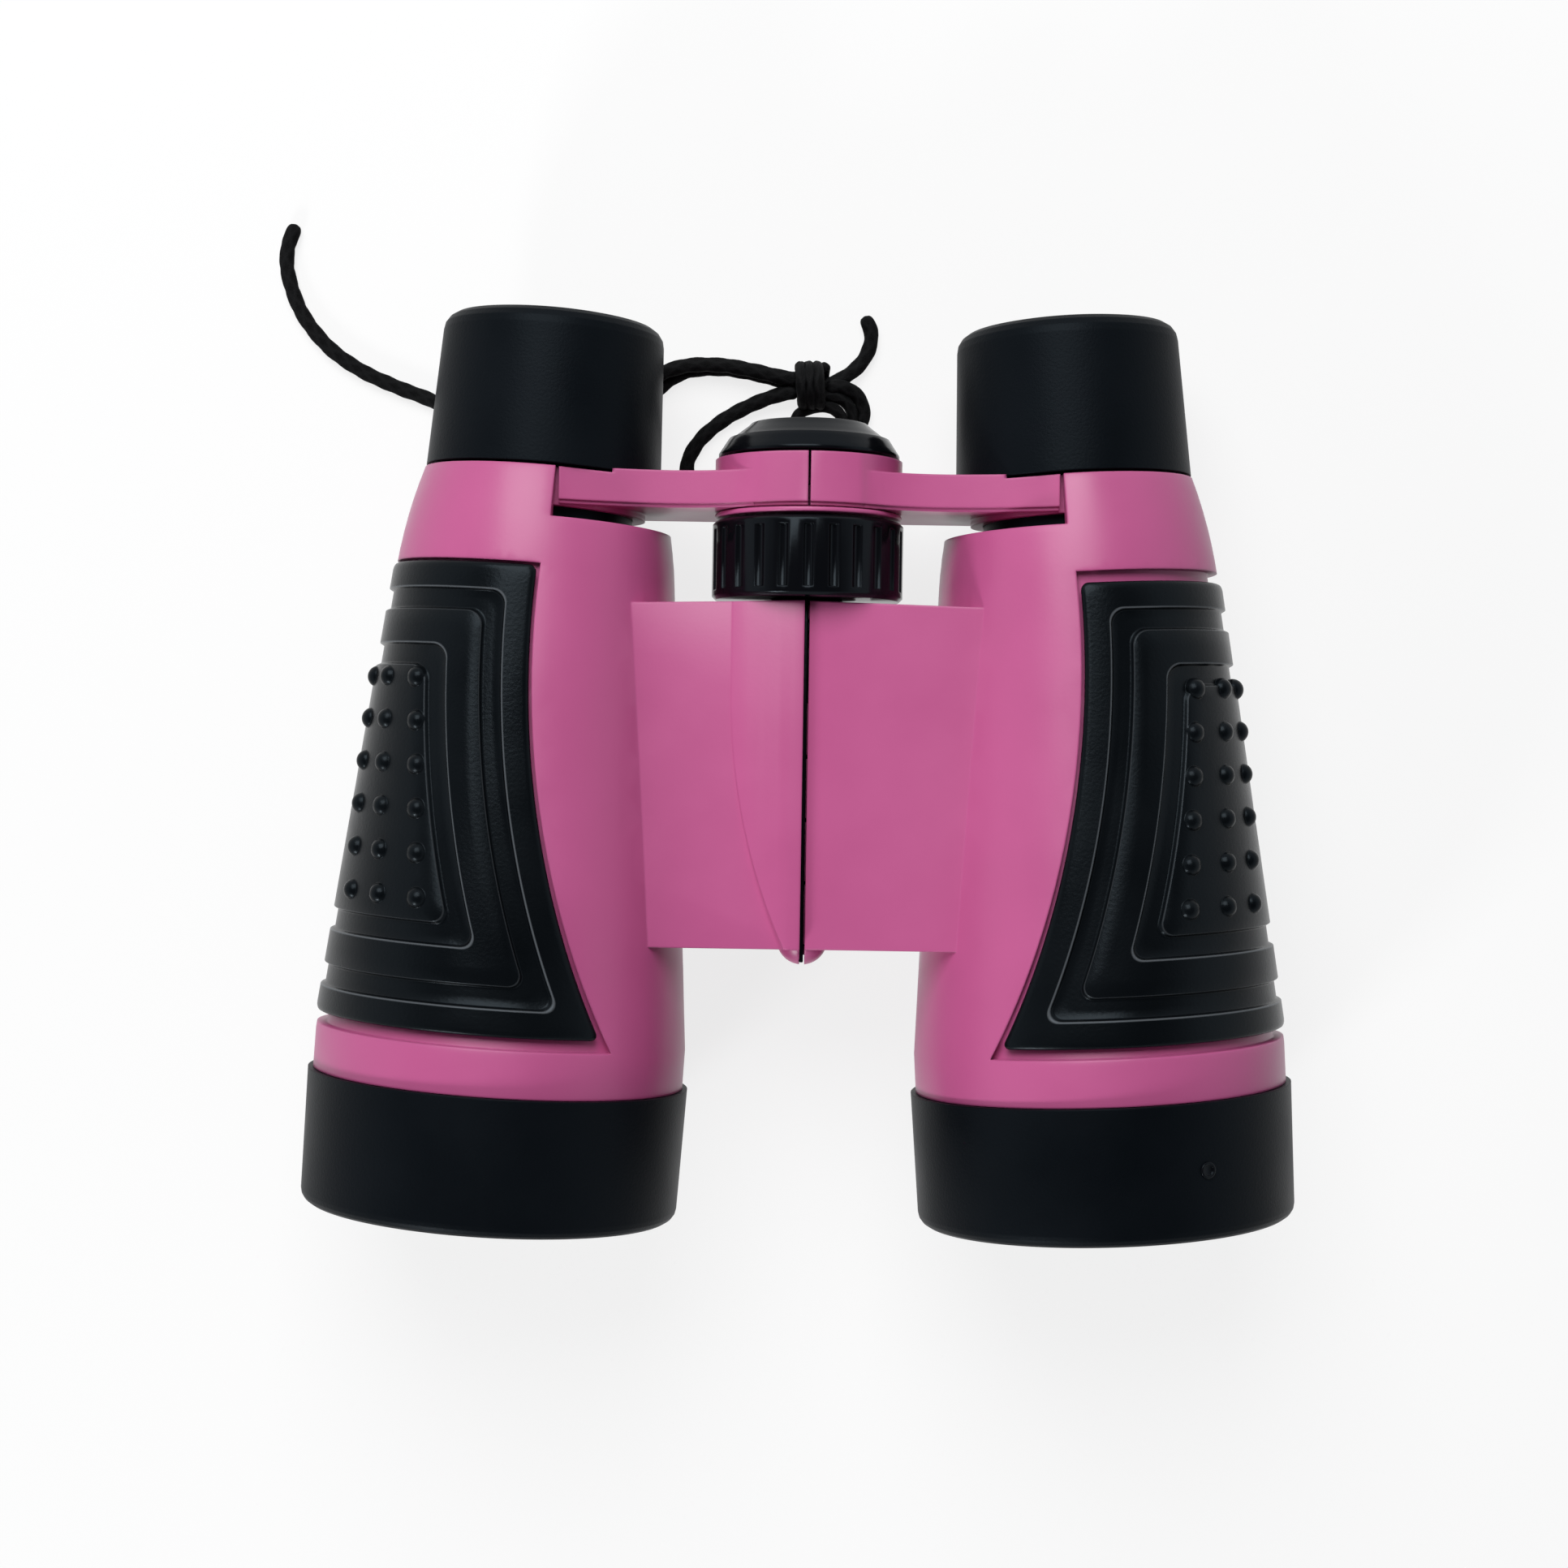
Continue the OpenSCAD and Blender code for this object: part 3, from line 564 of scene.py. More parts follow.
@dataclass(frozen=True)
class CordRoute:
    """One stretch of cord: its CAD node, its far end, and places in mm, without a height on the floor."""

    node: str
    far_end: str
    places: tuple[tuple[float, ...], ...]
    laid: float = 0.65

    @property
    def points(self) -> list[Place]:
        """The places in metres."""
        return [(x * MM, y * MM, (z[0] if z else self.laid) * MM) for x, y, *z in self.places]


NECK_CORD = CordRoute("neck_cord", "bare", (
    (-1.0, 40.2, 2.2), (-3.2, 40.5, 2.2), (-6.0, 41.1, 2.05), (-9.4, 41.6, 1.95), (-13.4, 41.4, 1.8),
    (-17.0, 39.8, 1.6), (-19.6, 36.8, 1.0), (-22.2, 33.2), (-25.4, 30.8), (-28.8, 30.8), (-32.2, 32.6),
    (-35.8, 35.2), (-39.6, 37.4), (-43.6, 38.9), (-47.4, 40.6), (-50.8, 43.0), (-53.5, 46.4),
    (-54.9, 50.2), (-55.0, 53.0), (-54.1, 55.6),
))
LUG_CORD = CordRoute("lug_cord", "bare", (
    (-39.7, 25.6, 1.3), (-39.4, 27.2, 0.9), (-37.4, 28.5), (-34.0, 28.8), (-30.4, 28.8), (-26.8, 28.8),
    (-23.6, 29.5), (-21.0, 31.8), (-18.7, 35.2), (-16.5, 38.5), (-13.4, 40.8), (-9.6, 41.3), (-6.2, 40.9),
    (-3.2, 40.2, 0.9), (-0.5, 39.6, 1.2), (2.0, 39.8, 1.3), (4.0, 40.8, 1.0), (5.5, 42.2), (6.3, 43.8),
    (6.4, 45.4), (5.7, 47.0),
))
CORD_LOOP = CordRoute("cord_loop", "knot", (
    (-1.2, 39.0, 2.0), (-3.6, 38.5, 1.5), (-6.4, 37.4, 0.9), (-9.2, 35.8), (-11.6, 33.6), (-12.8, 31.0),
    (-12.0, 28.6), (-9.6, 27.2), (-6.4, 28.0), (-3.6, 30.6), (-0.6, 32.8), (2.6, 33.6), (4.7, 34.6),
    (5.7, 36.3), (5.4, 38.2, 1.0), (3.9, 39.4, 1.7), (1.8, 39.5, 2.4),
))
KNOT_BIGHT = CordRoute("cord_knot", "knot", (
    (0.4, 38.6, 2.1), (2.4, 38.5, 2.0), (3.8, 38.0, 1.6), (4.6, 36.6, 1.3), (4.3, 34.9, 1.2),
    (2.8, 33.8, 1.2), (1.0, 33.8, 1.3), (-0.6, 34.6, 1.5), (-1.3, 35.8, 1.8), (-0.8, 36.8, 2.1),
    (0.8, 37.4, 2.3), (2.4, 37.3, 2.2), (3.4, 36.4, 2.0), (3.3, 35.0, 1.8),
))


@dataclass
class NeckCord:
    """The tied neck cord: three stretches, the knot, and a small tie in each strap lug."""

    rest: RestFrame
    diameter: float = 1.3 * MM
    width: float = 1.6 * MM
    ring_step: float = 0.13 * MM
    ring_sides: int = 24
    smooth_degrees: float = 60.0
    braid_strands: int = 4
    braid_pitch: float = 2.2 * MM
    braid_depth: float = 0.055 * MM
    under_share: float = 0.9
    crown_power: float = 0.6
    knot_turns: float = 3.0
    knot_turn_r: float = 1.95 * MM
    end_share: float = 0.15

    def smooth(self, points: list[Place]) -> list[Vector]:
        """Run one smooth curve through the points, with even steps.

        Args:
            points: Given places.

        Returns:
            Places a ring step apart.
        """
        given = [Vector(point) for point in points]
        given = [given[0] * 2 - given[1], *given, given[-1] * 2 - given[-2]]
        fine: list[Vector] = []
        for a, b, c, d in zip(given, given[1:], given[2:], given[3:]):
            count = max(2, round((c - b).length / self.ring_step))
            for i in range(count):
                t = i / count
                fine.append(0.5 * ((2 * b) + (c - a) * t + (2 * a - 5 * b + 4 * c - d) * t * t
                                   + (3 * b - a - 3 * c + d) * t ** 3))
        fine.append(given[-2])
        return fine

    def sections(self, line: list[Vector], lying: bool) -> list[tuple[Vector, Vector, float]]:
        """Turn the cord's section along a line, without a twist.

        Args:
            line: Places a ring step apart.
            lying: Whether the cord lies flat on the floor.

        Returns:
            The section's side, its top, and the run so far, for each place.
        """
        found: list[tuple[Vector, Vector, float]] = []
        run = 0.0
        side = None
        for i, place in enumerate(line):
            ahead = (line[min(i + 1, len(line) - 1)] - line[max(i - 1, 0)]).normalized()
            if lying:
                side = ahead.cross(WORLD_Z)
            elif side is None:
                side = ahead.orthogonal()
            side = (side - ahead * side.dot(ahead)).normalized()
            run += (place - line[i - 1]).length if i else 0.0
            found.append((side, ahead.cross(side), run))
        return found

    def taper(self, ring: int, rings: int) -> float:
        """Share of the full radius that a ring has, so that the cord's ends are round.

        Args:
            ring: Number of the ring.
            rings: Number of rings in all.

        Returns:
            The share, 1 away from the ends.
        """
        near_end = min(ring, rings - 1 - ring) * self.ring_step / (self.diameter / 2)
        if near_end >= 1:
            return 1.0
        return math.sqrt(1 - (1 - near_end) ** 2) * (1 - self.end_share) + self.end_share

    def tube(self, name: str, line: list[Vector], lying: bool = True, closed: bool = False) -> Piece:
        """Roll a grid into a braided tube along a line.

        Args:
            name: Name of the piece.
            line: Places a ring step apart.
            lying: Whether the section is the flat oval of a cord that lies on the floor.
            closed: Whether the line's end meets its start.

        Returns:
            The tube, with a strand attribute that its finish uses to paint shade into the braid's grooves.
        """
        across = (self.width if lying else self.diameter) / self.diameter
        core = self.diameter / 2 - self.braid_depth
        sections = self.sections(line, lying)
        rings = len(line)

        def at(column: int, row: int) -> tuple[Vector, float]:
            """Lay one place of the grid.

            Args:
                column: Its number round the cord.
                row: Its number along it.

            Returns:
                The place and the braid's height there.
            """
            angle, ring = math.tau * column / self.ring_sides, row % rings
            side, above, run = sections[ring]
            lift = self.strand(angle, run)
            radius = (core + self.braid_depth * lift) * (1.0 if closed else self.taper(ring, rings))
            return line[ring] + (side * math.cos(angle) * across + above * math.sin(angle)) * radius, lift

        piece = rolled(name, self.ring_sides, rings if closed else rings - 1, "strand", at)
        with editing():
            bpy.ops.mesh.fill_holes(sides=0)
            bpy.ops.mesh.select_all(action="SELECT")
            bpy.ops.mesh.normals_make_consistent(inside=False)
        shade(piece, self.smooth_degrees)
        return piece

    def strand(self, angle: float, run: float) -> float:
        """Height of the braid at a place on the cord.

        Args:
            angle: Place round the cord.
            run: Place along it.

        Returns:
            0 in the grooves, 1 on the strands' crowns.
        """
        turn = math.tau * run / self.braid_pitch
        one = math.cos(self.braid_strands * angle + turn)
        other = math.cos(self.braid_strands * angle - turn)
        over = max(one, other) * (1.0 if math.cos(2 * turn) > 0 else self.under_share)
        return max(0.0, over) ** self.crown_power

    def knot_line(self) -> list[Vector]:
        """Turns of the knot round the strands that run through it.

        Returns:
            Places along the turns, a ring step apart.
        """
        low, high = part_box("cord_knot")
        middle = (low + high) / 2
        width = (high.x - low.x) - self.diameter
        length = self.knot_turns * math.tau * self.knot_turn_r
        count = round(length / self.ring_step)
        line = []
        for i in range(count + 1):
            part = i / count
            angle = math.tau * self.knot_turns * part
            line.append(middle + Vector((
                (part - 0.5) * width,
                math.cos(angle) * self.knot_turn_r,
                math.sin(angle) * self.knot_turn_r,
            )))
        return line

    def lug_tie(self, side: Side) -> Piece:
        """Small closed loop of cord in a strap lug, where its CAD solid is.

        Args:
            side: Which barrel.

        Returns:
            The loop.
        """
        node = f"{side.word}_lug_loop"
        low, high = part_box(node)
        middle = (low + high) / 2
        across = (self.rest.up - WORLD_X * side.value).normalized()
        out = across.cross(self.rest.along).normalized()
        radius = (max(high.x - low.x, high.z - low.z) - self.diameter) / 2
        count = round(math.tau * radius / self.ring_step)
        turns = [math.tau * i / count for i in range(count)]
        line = [middle + (out * math.cos(turn) + across * math.sin(turn)) * radius for turn in turns]
        piece = self.tube(f"{side.word}_lug_tie", line, lying=False, closed=True)
        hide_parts(node)
        return piece

    def build(self, wardrobe: Wardrobe) -> list[Piece]:
        """Args:
            wardrobe: The finished materials.

        Returns:
            The knot, the ties and the three stretches.
        """
        bight = self.tube("cord_knot_bight", self.smooth(KNOT_BIGHT.points), lying=False)
        knot = self.tube("cord_knot_turns", self.knot_line(), lying=False)
        join(knot, [bight])
        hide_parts("cord_knot")
        ties = {side: self.lug_tie(side) for side in Side}
        for piece in (knot, ties[Side.LEFT]):
            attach(piece, "left_half")
        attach(ties[Side.RIGHT], "right_half")
        pieces = [knot, *ties.values()]
        for piece in pieces:
            wardrobe.dress(piece, Slot.CORD)
        for route in (NECK_CORD, LUG_CORD, CORD_LOOP):
            line = self.smooth(route.points)
            piece = self.tube(f"braided_{route.node}", line)
            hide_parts(route.node)
            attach(piece, "left_half")
            wardrobe.dress(piece, Slot.CORD)
            pieces.append(piece)
        return pieces


@dataclass(frozen=True)
class SoftEdges:
    """Rounded edges of a moulding: their radius, and the angle from which an edge counts as one."""

    radius: float
    degrees: float = 32.0
    steps: int = 2
    flat_degrees: float = 0.02

    def piece(self, node: str) -> Piece:
        """Copy a CAD node's mesh, merge it and round its edges.

        Args:
            node: The node that the new piece stands for.

        Returns:
            The rounded piece.
        """
        piece = bpy.data.objects.new(f"{node}_moulding", frame["nodes"][node].data.copy())
        bpy.context.scene.collection.objects.link(piece)
        only(piece)
        bpy.ops.mesh.customdata_custom_splitnormals_clear()
        with editing():
            bpy.ops.mesh.remove_doubles(threshold=MERGE)
            bpy.ops.mesh.dissolve_limited(angle_limit=math.radians(self.flat_degrees))
        apply_modifier(piece, "BEVEL", width=self.radius, segments=self.steps, limit_method="ANGLE",
                       angle_limit=math.radians(self.degrees), use_clamp_overlap=True)
        shade(piece, self.degrees)
        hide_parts(node)
        return piece


@dataclass
class Mouldings:
    """The hard mouldings, with the rounded edges that their tools leave."""

    fine: SoftEdges = SoftEdges(0.15 * MM)
    plain: SoftEdges = SoftEdges(0.25 * MM)
    full: SoftEdges = SoftEdges(0.35 * MM, steps=3)

    def build(self, wardrobe: Wardrobe) -> list[Piece]:
        """Round each moulding and dress it.

        Args:
            wardrobe: The finished materials.

        Returns:
            The mouldings.
        """
        bodies = frame["record"]["behaviour"]["bodies"]
        rides = {node: body for body, nodes in bodies.items() for node in nodes}
        plan = {"screw_cap": (self.plain, Slot.GLOSS), "focus_wheel": (self.fine, Slot.GLOSS),
                "bridge_washer": (self.fine, Slot.PINK)}
        for side in Side:
            plan[f"{side.word}_bridge_arm"] = (self.plain, Slot.PINK)
            plan[f"{side.word}_barrel"] = (self.full, Slot.PINK)
        pieces = []
        for node, (edges, slot) in plan.items():
            piece = edges.piece(node)
            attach(piece, rides[node])
            wardrobe.dress(piece, slot)
            pieces.append(piece)
        return pieces


@dataclass
class GateMark:
    """Small raised rim that the mould's gate left on the right objective ring."""

    barrel: BarrelFrame
    ring_r: float = 19.0 * MM
    along: float = -36.35 * MM
    angle: float = math.radians(65.4)
    mark_r: float = 0.8 * MM
    lip_w: float = 0.3 * MM
    height: float = 0.5 * MM
    dip: float = 0.14 * MM
    stand: float = 0.12 * MM
    round_r: float = 0.05 * MM
    sides: int = 40
    flat: float = 0.9

    def build(self, wardrobe: Wardrobe) -> list[Piece]:
        """Model the rim with its dip and set it on the ring.

        Args:
            wardrobe: The finished materials.

        Returns:
            The mark, alone in a list.
        """
        deselect()
        bpy.ops.mesh.primitive_cylinder_add(vertices=self.sides, radius=self.mark_r, depth=self.height)
        piece = named("right_gate_mark")
        with editing("DESELECT"):
            bpy.ops.mesh.select_mode(type="FACE")
        for face in piece.data.polygons:
            face.select = face.normal.z > self.flat
        bpy.ops.object.mode_set(mode="EDIT")
        bpy.ops.mesh.inset(thickness=self.lip_w)
        bpy.ops.mesh.extrude_region_move(TRANSFORM_OT_translate={"value": (0.0, 0.0, -self.dip)})
        bpy.ops.object.mode_set(mode="OBJECT")
        apply_modifier(piece, "BEVEL", width=self.round_r, segments=2, limit_method="ANGLE")
        normal = self.barrel.out * math.cos(self.angle) + self.barrel.up * math.sin(self.angle)
        reach = self.ring_r + self.stand - self.height / 2
        place = self.barrel.at(reach * math.cos(self.angle), self.along, reach * math.sin(self.angle))
        stand(piece, place, normal)
        shade(piece)
        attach(piece, "right_half")
        wardrobe.dress(piece, Slot.GLOSS)
        return [piece]


@dataclass
class SeamStrip:
    """Thin black strip on the left half, put in the seam as painted shade, with a foot behind the hinge pin."""

    rest: RestFrame
    front: float = -17.4 * MM
    back: float = 17.6 * MM
    left: float = -0.3 * MM
    right: float = 0.12 * MM
    low: float = 4.45 * MM
    high: float = 5.4 * MM
    foot_front: float = 8.0 * MM
    foot_back: float = 13.4 * MM
    foot_right: float = 0.65 * MM
    foot_low: float = 4.3 * MM
    foot_high: float = 4.58 * MM
    round_r: float = 0.12 * MM

    def bar(self, right: float, ends: tuple[float, float], heights: tuple[float, float]) -> Piece:
        """Model one bar of the strip with round edges.

        Args:
            right: Its right side.
            ends: Its front and back end along the hinge.
            heights: Its underside and top over the hinge axis.

        Returns:
            The bar in the row frame.
        """
        deselect()
        bpy.ops.mesh.primitive_cube_add(size=1.0)
        piece = named("left_seam_strip")
        bpy.ops.transform.resize(value=(right - self.left, ends[1] - ends[0], heights[1] - heights[0]))
        bpy.ops.object.transform_apply(location=False, rotation=False, scale=True)
        apply_modifier(piece, "BEVEL", width=self.round_r, segments=3, limit_method="ANGLE")
        middle = self.rest.level((self.left + right) / 2, sum(ends) / 2, sum(heights) / 2)
        axes = Matrix((WORLD_X, self.rest.along, self.rest.up)).transposed()
        piece.data.transform(Matrix.Translation(middle) @ axes.to_4x4())
        return piece

    def build(self, wardrobe: Wardrobe) -> list[Piece]:
        """Model the strip and its foot as one piece.

        Args:
            wardrobe: The finished materials.

        Returns:
            The strip, alone in a list.
        """
        foot_ends, foot_heights = (self.foot_front, self.foot_back), (self.foot_low, self.foot_high)
        foot = self.bar(self.foot_right, foot_ends, foot_heights)
        strip = self.bar(self.right, (self.front, self.back), (self.low, self.high))
        join(strip, [foot])
        strip = named("left_seam_strip")
        shade(strip)
        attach(strip, "left_half")
        # Black rubber finish, so that the seam reads as painted shade.
        wardrobe.dress(strip, Slot.RUBBER)
        return [strip]


@dataclass
class Grip:
    """A soft grip: a curved sheet in its pocket, with two frame channels and a field of studs."""

    barrel: BarrelFrame
    front: float
    back: float
    surface_r: float = 16.3 * MM
    taper: float = 0.0978
    thickness: float = 1.2 * MM
    curve_r: float = 88.0 * MM
    past_axis: float = 1.3 * MM
    curve_y: float = 16.0 * MM
    channel_depth: float = 0.45 * MM
    channel_w: float = 2.0 * MM
    insets: tuple[float, float] = (2.7 * MM, 8.2 * MM)
    wall_w: float = 0.32 * MM
    corner_r: float = 1.5 * MM
    rim_corner_r: float = 0.8 * MM
    edge_round: float = 0.7 * MM
    edge_fall: float = 0.35 * MM
    stud_r: float = 1.1 * MM
    stud_h: float = 0.72 * MM
    stud_sunk: float = 0.5 * MM
    stud_rows: int = 6
    stud_columns: int = 3
    stud_middle: float = -1.3 * MM
    stud_row_pitch: float = 4.21 * MM
    stud_column_pitch: float = 4.9 * MM
    stud_first: float = 8.75 * MM
    stud_spread: float = 0.1
    side_cells: int = 64
    end_cells: int = 84
    corner_cells: int = 10
    panel_rings: int = 10
    stud_cells: tuple[int, int] = (24, 16)
    rim_shares: tuple[float, ...] = (0.0, 0.12, 0.3, 0.6, 1.0)
    wall_shares: tuple[float, ...] = (-0.3, 0.0, 0.2, 0.4, 0.6, 0.8, 1.0)
    # Rings with a painted highlight: in full on the lip of a wall that falls into a channel, faintly near the top
    # of a rising wall.
    rubbed_shares: tuple[float, ...] = (0.0, 0.2)
    brushed_share: float = 0.8
    brushed_tone: float = 0.35
    smooth_degrees: float = 50.0

    def radius(self, along: float) -> float:
        """Radius of the grip's surface at a place along the barrel."""
        return self.surface_r - self.taper * along

    def edge_angle(self, along: float, inset: float) -> float:
        """Angle from the outermost line to a line this far inside the grip's inner edge, in radians."""
        reach = math.sqrt((self.curve_r + inset) ** 2 - (along - self.curve_y) ** 2)
        return math.acos((reach - self.past_axis - self.curve_r) / self.radius(along))

    def quarter(self, inset: float, over: int, back: bool) -> list[tuple[float, float]]:
        """One corner of a frame outline, with half of the side and half of the end beside it.

        Args:
            inset: Distance of the outline from the grip's edge.
            over: 1 for the upper edge, -1 for the lower one.
            back: Whether the corner is at the eyepiece end.

        Returns:
            Angles and places along the barrel, from the side's middle to the end's middle.
        """
        shape = self.rim_corner_r + (self.corner_r - self.rim_corner_r) * min(1.0, inset / self.insets[0])
        middle = (self.back - self.front) / 2
        rim = self.back - inset if back else inset - self.front
        turn = rim - math.copysign(shape, rim - middle)
        places = []
        for i in range(self.side_cells):
            along = middle + (turn - middle) * i / self.side_cells
            places.append((over * self.edge_angle(along, inset), along))
        for i in range(self.corner_cells):
            part = math.pi / 2 * i / self.corner_cells
            along = turn + (rim - turn) * math.sin(part)
            places.append((over * self.edge_angle(along, inset + shape * (1 - math.cos(part))), along))
        angle = self.edge_angle(rim, inset + shape)
        places += [(over * angle * (1 - i / self.end_cells), rim) for i in range(self.end_cells)]
        return places

    def outline(self, inset: float) -> list[tuple[float, float]]:
        """Closed frame outline with round corners.

        Args:
            inset: Distance of the outline from the grip's edge.

        Returns:
            Angles and places along the barrel, once round.
        """
        line: list[tuple[float, float]] = []
        for over, back in ((1, True), (-1, True), (-1, False), (1, False)):
            part = self.quarter(inset, over, back)
            if (over > 0) != back:
                last = (0.0, part[-1][1])
                part = [*part[1:], last][::-1]
            line += part
        return line

    def wall(self, place: float, low: float, high: float) -> list[tuple[float, float, float]]:
        """Rings of one wall of a channel, with a painted highlight on its lip.

        Args:
            place: Inset of the wall's middle.
            low: Height before the wall, in channel depths.
            high: Height after it.

        Returns:
            The rings, as rings() gives them.
        """
        found = []
        for share in self.wall_shares:
            part = max(0.0, share)
            height = low + (high - low) * part * part * (3 - 2 * part)
            # Painted highlight, not wear: full on the lip of a falling wall, faint near the top of a rising one.
            rub = 0.0
            if low > high and share in self.rubbed_shares:
                rub = 1.0
            elif high > low and share == self.brushed_share:
                rub = self.brushed_tone
            found.append((place + (share - 0.5) * self.wall_w, height * self.channel_depth, rub))
        return found

    def rings(self) -> list[tuple[float, float, float]]:
        """Rings of the sheet: its rim and its channels' walls.

        Returns:
            Inset, height over the plain cone, and the share of painted highlight there, for each ring.
        """
        found = []
        for share in self.rim_shares:
            fall = self.edge_fall * (1 - math.sqrt(1 - (1 - share) ** 2))
            found.append((self.edge_round * share, -fall, 0.0))
        last = self.edge_round
        for inset in self.insets:
            for place, low, high in ((inset, 0.0, -1.0), (inset + self.channel_w, -1.0, 0.0)):
                found.append(((last + place) / 2, low * self.channel_depth, 0.0))
                found += self.wall(place, low, high)
                last = place
        return found

    def sheet(self) -> Piece:
        """Lay a grid over the cone ring by ring, close it, and give it its thickness.

        Returns:
            The grip's sheet without its studs.
        """
        frames = [(self.outline(inset), height, rub) for inset, height, rub in self.rings()]
        inner = frames[-1][0]
        middle = (self.back - self.front) / 2
        for ring in range(1, self.panel_rings + 1):
            share = 1 - ring / self.panel_rings
            line = [(angle * share, middle + (along - middle) * share) for angle, along in inner]
            frames.append((line, 0.0, 0.0))

        def at(column: int, row: int) -> tuple[Vector, float]:
            """Lay one place of the grid.

            Args:
                column: Its number round the frame.
                row: Its ring, from the rim inwards.

            Returns:
                The place and its share of painted highlight.
            """
            line, height, rub = frames[row]
            angle, along = line[column]
            radius = self.radius(along) + height
            return self.barrel.at(radius * math.cos(angle), along, radius * math.sin(angle)), rub

        piece = rolled(f"{self.barrel.side.word}_soft_grip", len(inner), len(frames) - 1, "rub", at)
        if self.barrel.side is Side.RIGHT:
            piece.data.flip_normals()
        apply_modifier(piece, "SOLIDIFY", thickness=self.thickness, offset=-1.0, use_even_offset=False)
        return piece

    def studs(self) -> list[Piece]:
        """Model one stud and copy it to every place of the field.

        Returns:
            The copies.
        """
        deselect()
        segments, rings = self.stud_cells
        bpy.ops.mesh.primitive_uv_sphere_add(segments=segments, ring_count=rings, radius=self.stud_r)
        first = named("stud")
        cut = WORLD_Z * (self.stud_r - self.stud_h - self.stud_sunk)
        with editing():
            bpy.ops.mesh.bisect(plane_co=cut, plane_no=WORLD_Z, use_fill=True, clear_inner=True)
        copies = []
        for row in range(self.stud_rows):
            along = self.stud_middle + (row - (self.stud_rows - 1) / 2) * self.stud_row_pitch
            radius = self.radius(along)
            start = math.acos((self.stud_first + self.stud_spread * along) / radius)
            depth = radius - self.stud_r + self.stud_h
            for column in range(self.stud_columns):
                angle = start - column * self.stud_column_pitch / radius
                for over in (-1, 1):
                    copy = first.copy()
                    copy.data = first.data.copy()
                    bpy.context.scene.collection.objects.link(copy)
                    up = over * depth * math.sin(angle)
                    place = self.barrel.at(depth * math.cos(angle), along, up)
                    normal = self.barrel.out * math.cos(angle) + self.barrel.up * over * math.sin(angle)
                    stand(copy, place, normal)
                    copies.append(copy)
        bpy.data.objects.remove(first)
        return copies

    def build(self, wardrobe: Wardrobe) -> list[Piece]:
        """Make the grip in one piece and set it in place of its CAD solid.

        Args:
            wardrobe: The finished materials.

        Returns:
            The grip, alone in a list.
        """
        piece = self.sheet()
        join(piece, self.studs())
        shade(piece, self.smooth_degrees)
        word = self.barrel.side.word
        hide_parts(f"{word}_grip")
        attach(piece, f"{word}_half")
        wardrobe.dress(piece, Slot.RUBBER)
        return [piece]


@dataclass(frozen=True)
class Lamp:
    """A soft square lamp that faces the object: its place, its side in metres and its power in watts."""

    name: str
    place: Place
    size: float
    power: float

    def hang(self) -> None:
        """Hang the lamp."""
        data = bpy.data.lights.new(self.name, "AREA")
        data.shape = "SQUARE"
        data.size = self.size
        data.energy = self.power
        lamp = bpy.data.objects.new(self.name, data)
        bpy.context.scene.collection.objects.link(lamp)
        lamp.location = self.place
        lamp.rotation_euler = Vector(self.place).to_track_quat("Z", "Y").to_euler()


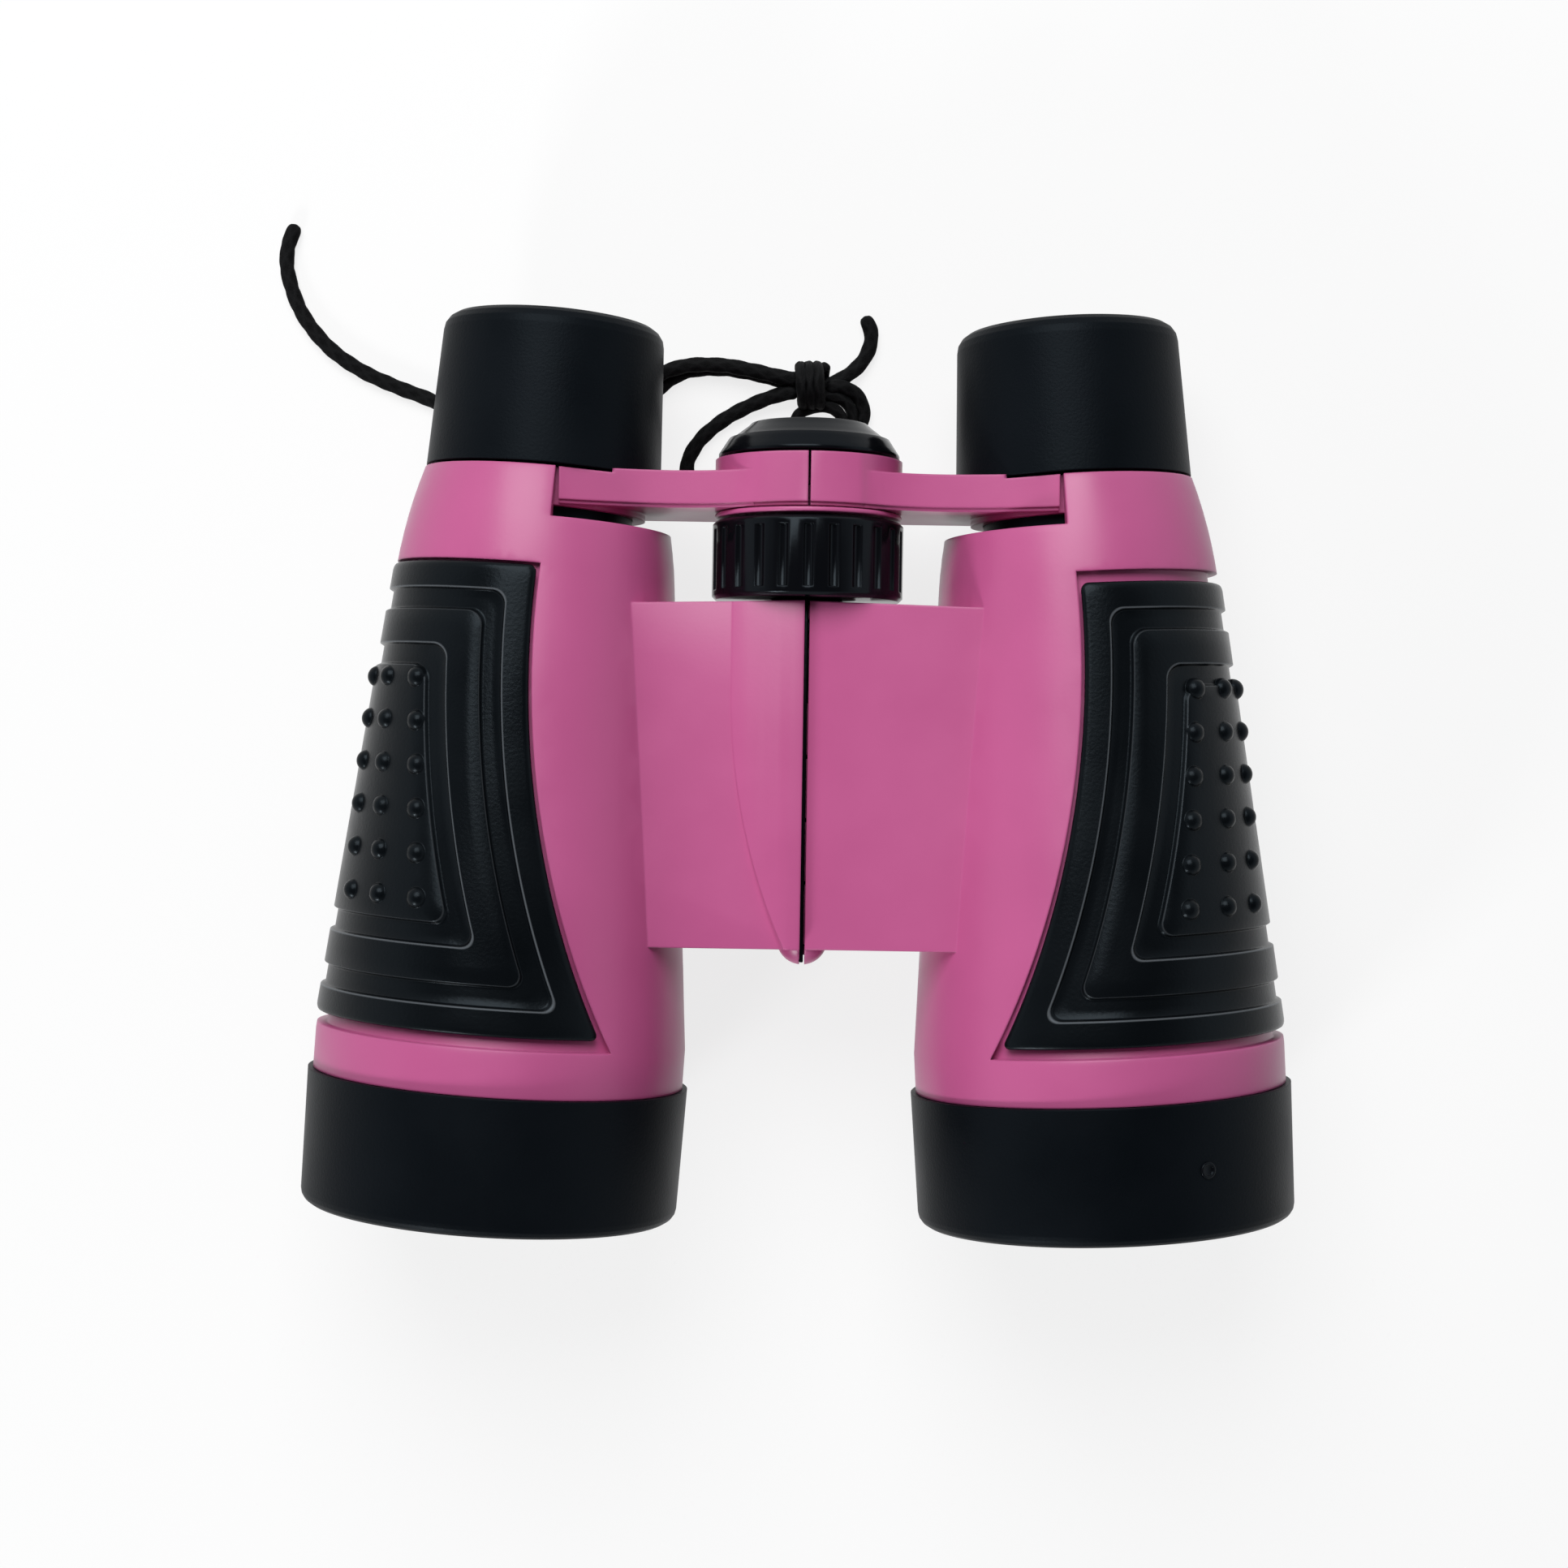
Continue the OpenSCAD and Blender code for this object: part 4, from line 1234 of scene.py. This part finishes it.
@dataclass
class Studio:
    """Camera, lamps, floor and white surround."""

    rest: RestFrame
    camera_height: float = 256.5 * MM
    camera_x: float = -2.0 * MM
    focal_share: float = 3170.0 / 1932.0
    sensor: float = 36.0
    roll: float = math.radians(0.9)
    nearest: float = 0.01
    floor_size: float = 6.0
    floor_glow: float = 0.8
    floor_rough: float = 0.9
    floor_sheen: float = 0.1
    floor_lit: Colour = (0.42, 0.42, 0.42)
    floor_seen: Colour = (0.93, 0.93, 0.93)
    sky_tone: tuple[float, float, float, float] = (0.93, 0.97, 1.0, 1.0)
    sky_light: float = 0.14
    walls_to: float = 0.45
    ceiling_from: float = 0.8
    wall_white: float = 1.0
    ceiling_dark: float = 0.1
    lamps: tuple[Lamp, ...] = (
        Lamp("window", (-0.24, -0.42, 0.24), 0.11, 1.3),
        Lamp("sky", (-0.08, 0.34, 0.40), 0.35, 2.6),
    )

    def camera(self) -> None:
        """Look straight down on the barrels, as the photograph does."""
        data = bpy.data.cameras.new("camera")
        data.sensor_width = self.sensor
        data.lens = self.focal_share * self.sensor
        data.clip_start = self.nearest
        eye = bpy.data.objects.new("camera", data)
        bpy.context.scene.collection.objects.link(eye)
        up = Matrix.Rotation(self.roll, 3, self.rest.up) @ self.rest.along
        back = self.rest.up
        right = up.cross(back)
        turn = Matrix((right, up, back)).transposed().to_4x4()
        place = self.rest.level(self.camera_x, 0.0, self.camera_height)
        eye.matrix_world = Matrix.Translation(place) @ turn
        bpy.context.scene.camera = eye

    @staticmethod
    def seen(nodes: Nodes) -> Socket:
        """Add a mask that is 1 where the camera sees the surround, in a mirror or through a lens too.

        Args:
            nodes: Node tree of the floor or the world.

        Returns:
            The mask's socket.
        """
        path = nodes.node("ShaderNodeLightPath").outputs
        direct = nodes.math("MAXIMUM", path["Is Camera Ray"], path["Is Glossy Ray"])
        return nodes.math("MAXIMUM", direct, path["Is Transmission Ray"])

    def floor(self) -> None:
        """Lay a pale floor that shows white to the camera and keeps the shadow."""
        deselect()
        bpy.ops.mesh.primitive_plane_add(size=self.floor_size)
        piece = named("floor")
        shader = Shader("pale_floor")
        seen = self.seen(shader)
        shader.set(Base_Color=shader.blend(seen, self.floor_lit, self.floor_seen),
                   Roughness=self.floor_rough, Specular_IOR_Level=self.floor_sheen)
        glow = shader.node("ShaderNodeEmission", Strength=1.0)
        mix = shader.node("ShaderNodeMixShader", Fac=shader.math("MULTIPLY", seen, self.floor_glow))
        for target, source in zip(mix.inputs[1:], (shader.bsdf.outputs["BSDF"], glow.outputs["Emission"])):
            shader.feed(target, source)
        shader.fill(shader.tree.nodes["Material Output"], {"Surface": mix.outputs["Shader"]})
        piece.data.materials.append(shader.material)

    def surround(self) -> None:
        """Light the scene from all round, and show white walls under a dark ceiling."""
        world = bpy.data.worlds.new("surround")
        world.use_nodes = True
        bpy.context.scene.world = world
        nodes = Nodes(world.node_tree)
        ahead = nodes.node("ShaderNodeTexCoord").outputs["Generated"]
        height = nodes.node("ShaderNodeSeparateXYZ", Vector=ahead)
        shown = nodes.span(Value=height.outputs["Z"], From_Min=self.walls_to, From_Max=self.ceiling_from,
                           To_Min=self.wall_white, To_Max=self.ceiling_dark)
        strength = nodes.span(Value=self.seen(nodes), To_Min=self.sky_light, To_Max=shown)
        nodes.fill(nodes.tree.nodes["Background"], {"Color": self.sky_tone, "Strength": strength})

    def build(self) -> None:
        """Hang the lamps, lay the floor and light the surround."""
        for lamp in self.lamps:
            lamp.hang()
        self.floor()
        self.surround()


# How far each grip reaches from the barrel's middle, to the front and to the back.
GRIP_ENDS = {Side.LEFT: (24.2 * MM, 20.7 * MM), Side.RIGHT: (24.4 * MM, 19.8 * MM)}


def main() -> None:
    """Build the looks in order and log each built piece's face count."""
    logging.basicConfig(level=logging.INFO, format="%(message)s")
    bpy.context.scene.view_settings.view_transform = "Standard"
    rest = RestFrame.from_record()
    studio = Studio(rest)
    studio.camera()
    wardrobe = Wardrobe()
    wardrobe.dress_nodes()
    barrels = {side: BarrelFrame.from_record(side, rest) for side in Side}
    grips = [Grip(barrels[side], *ends) for side, ends in GRIP_ENDS.items()]
    for part in (NeckCord(rest), Mouldings(), *grips, GateMark(barrels[Side.RIGHT]), SeamStrip(rest)):
        for piece in part.build(wardrobe):
            LOG.info("%s: %d faces", piece.name, len(piece.data.polygons))
    studio.build()


if __name__ == "__main__":
    main()
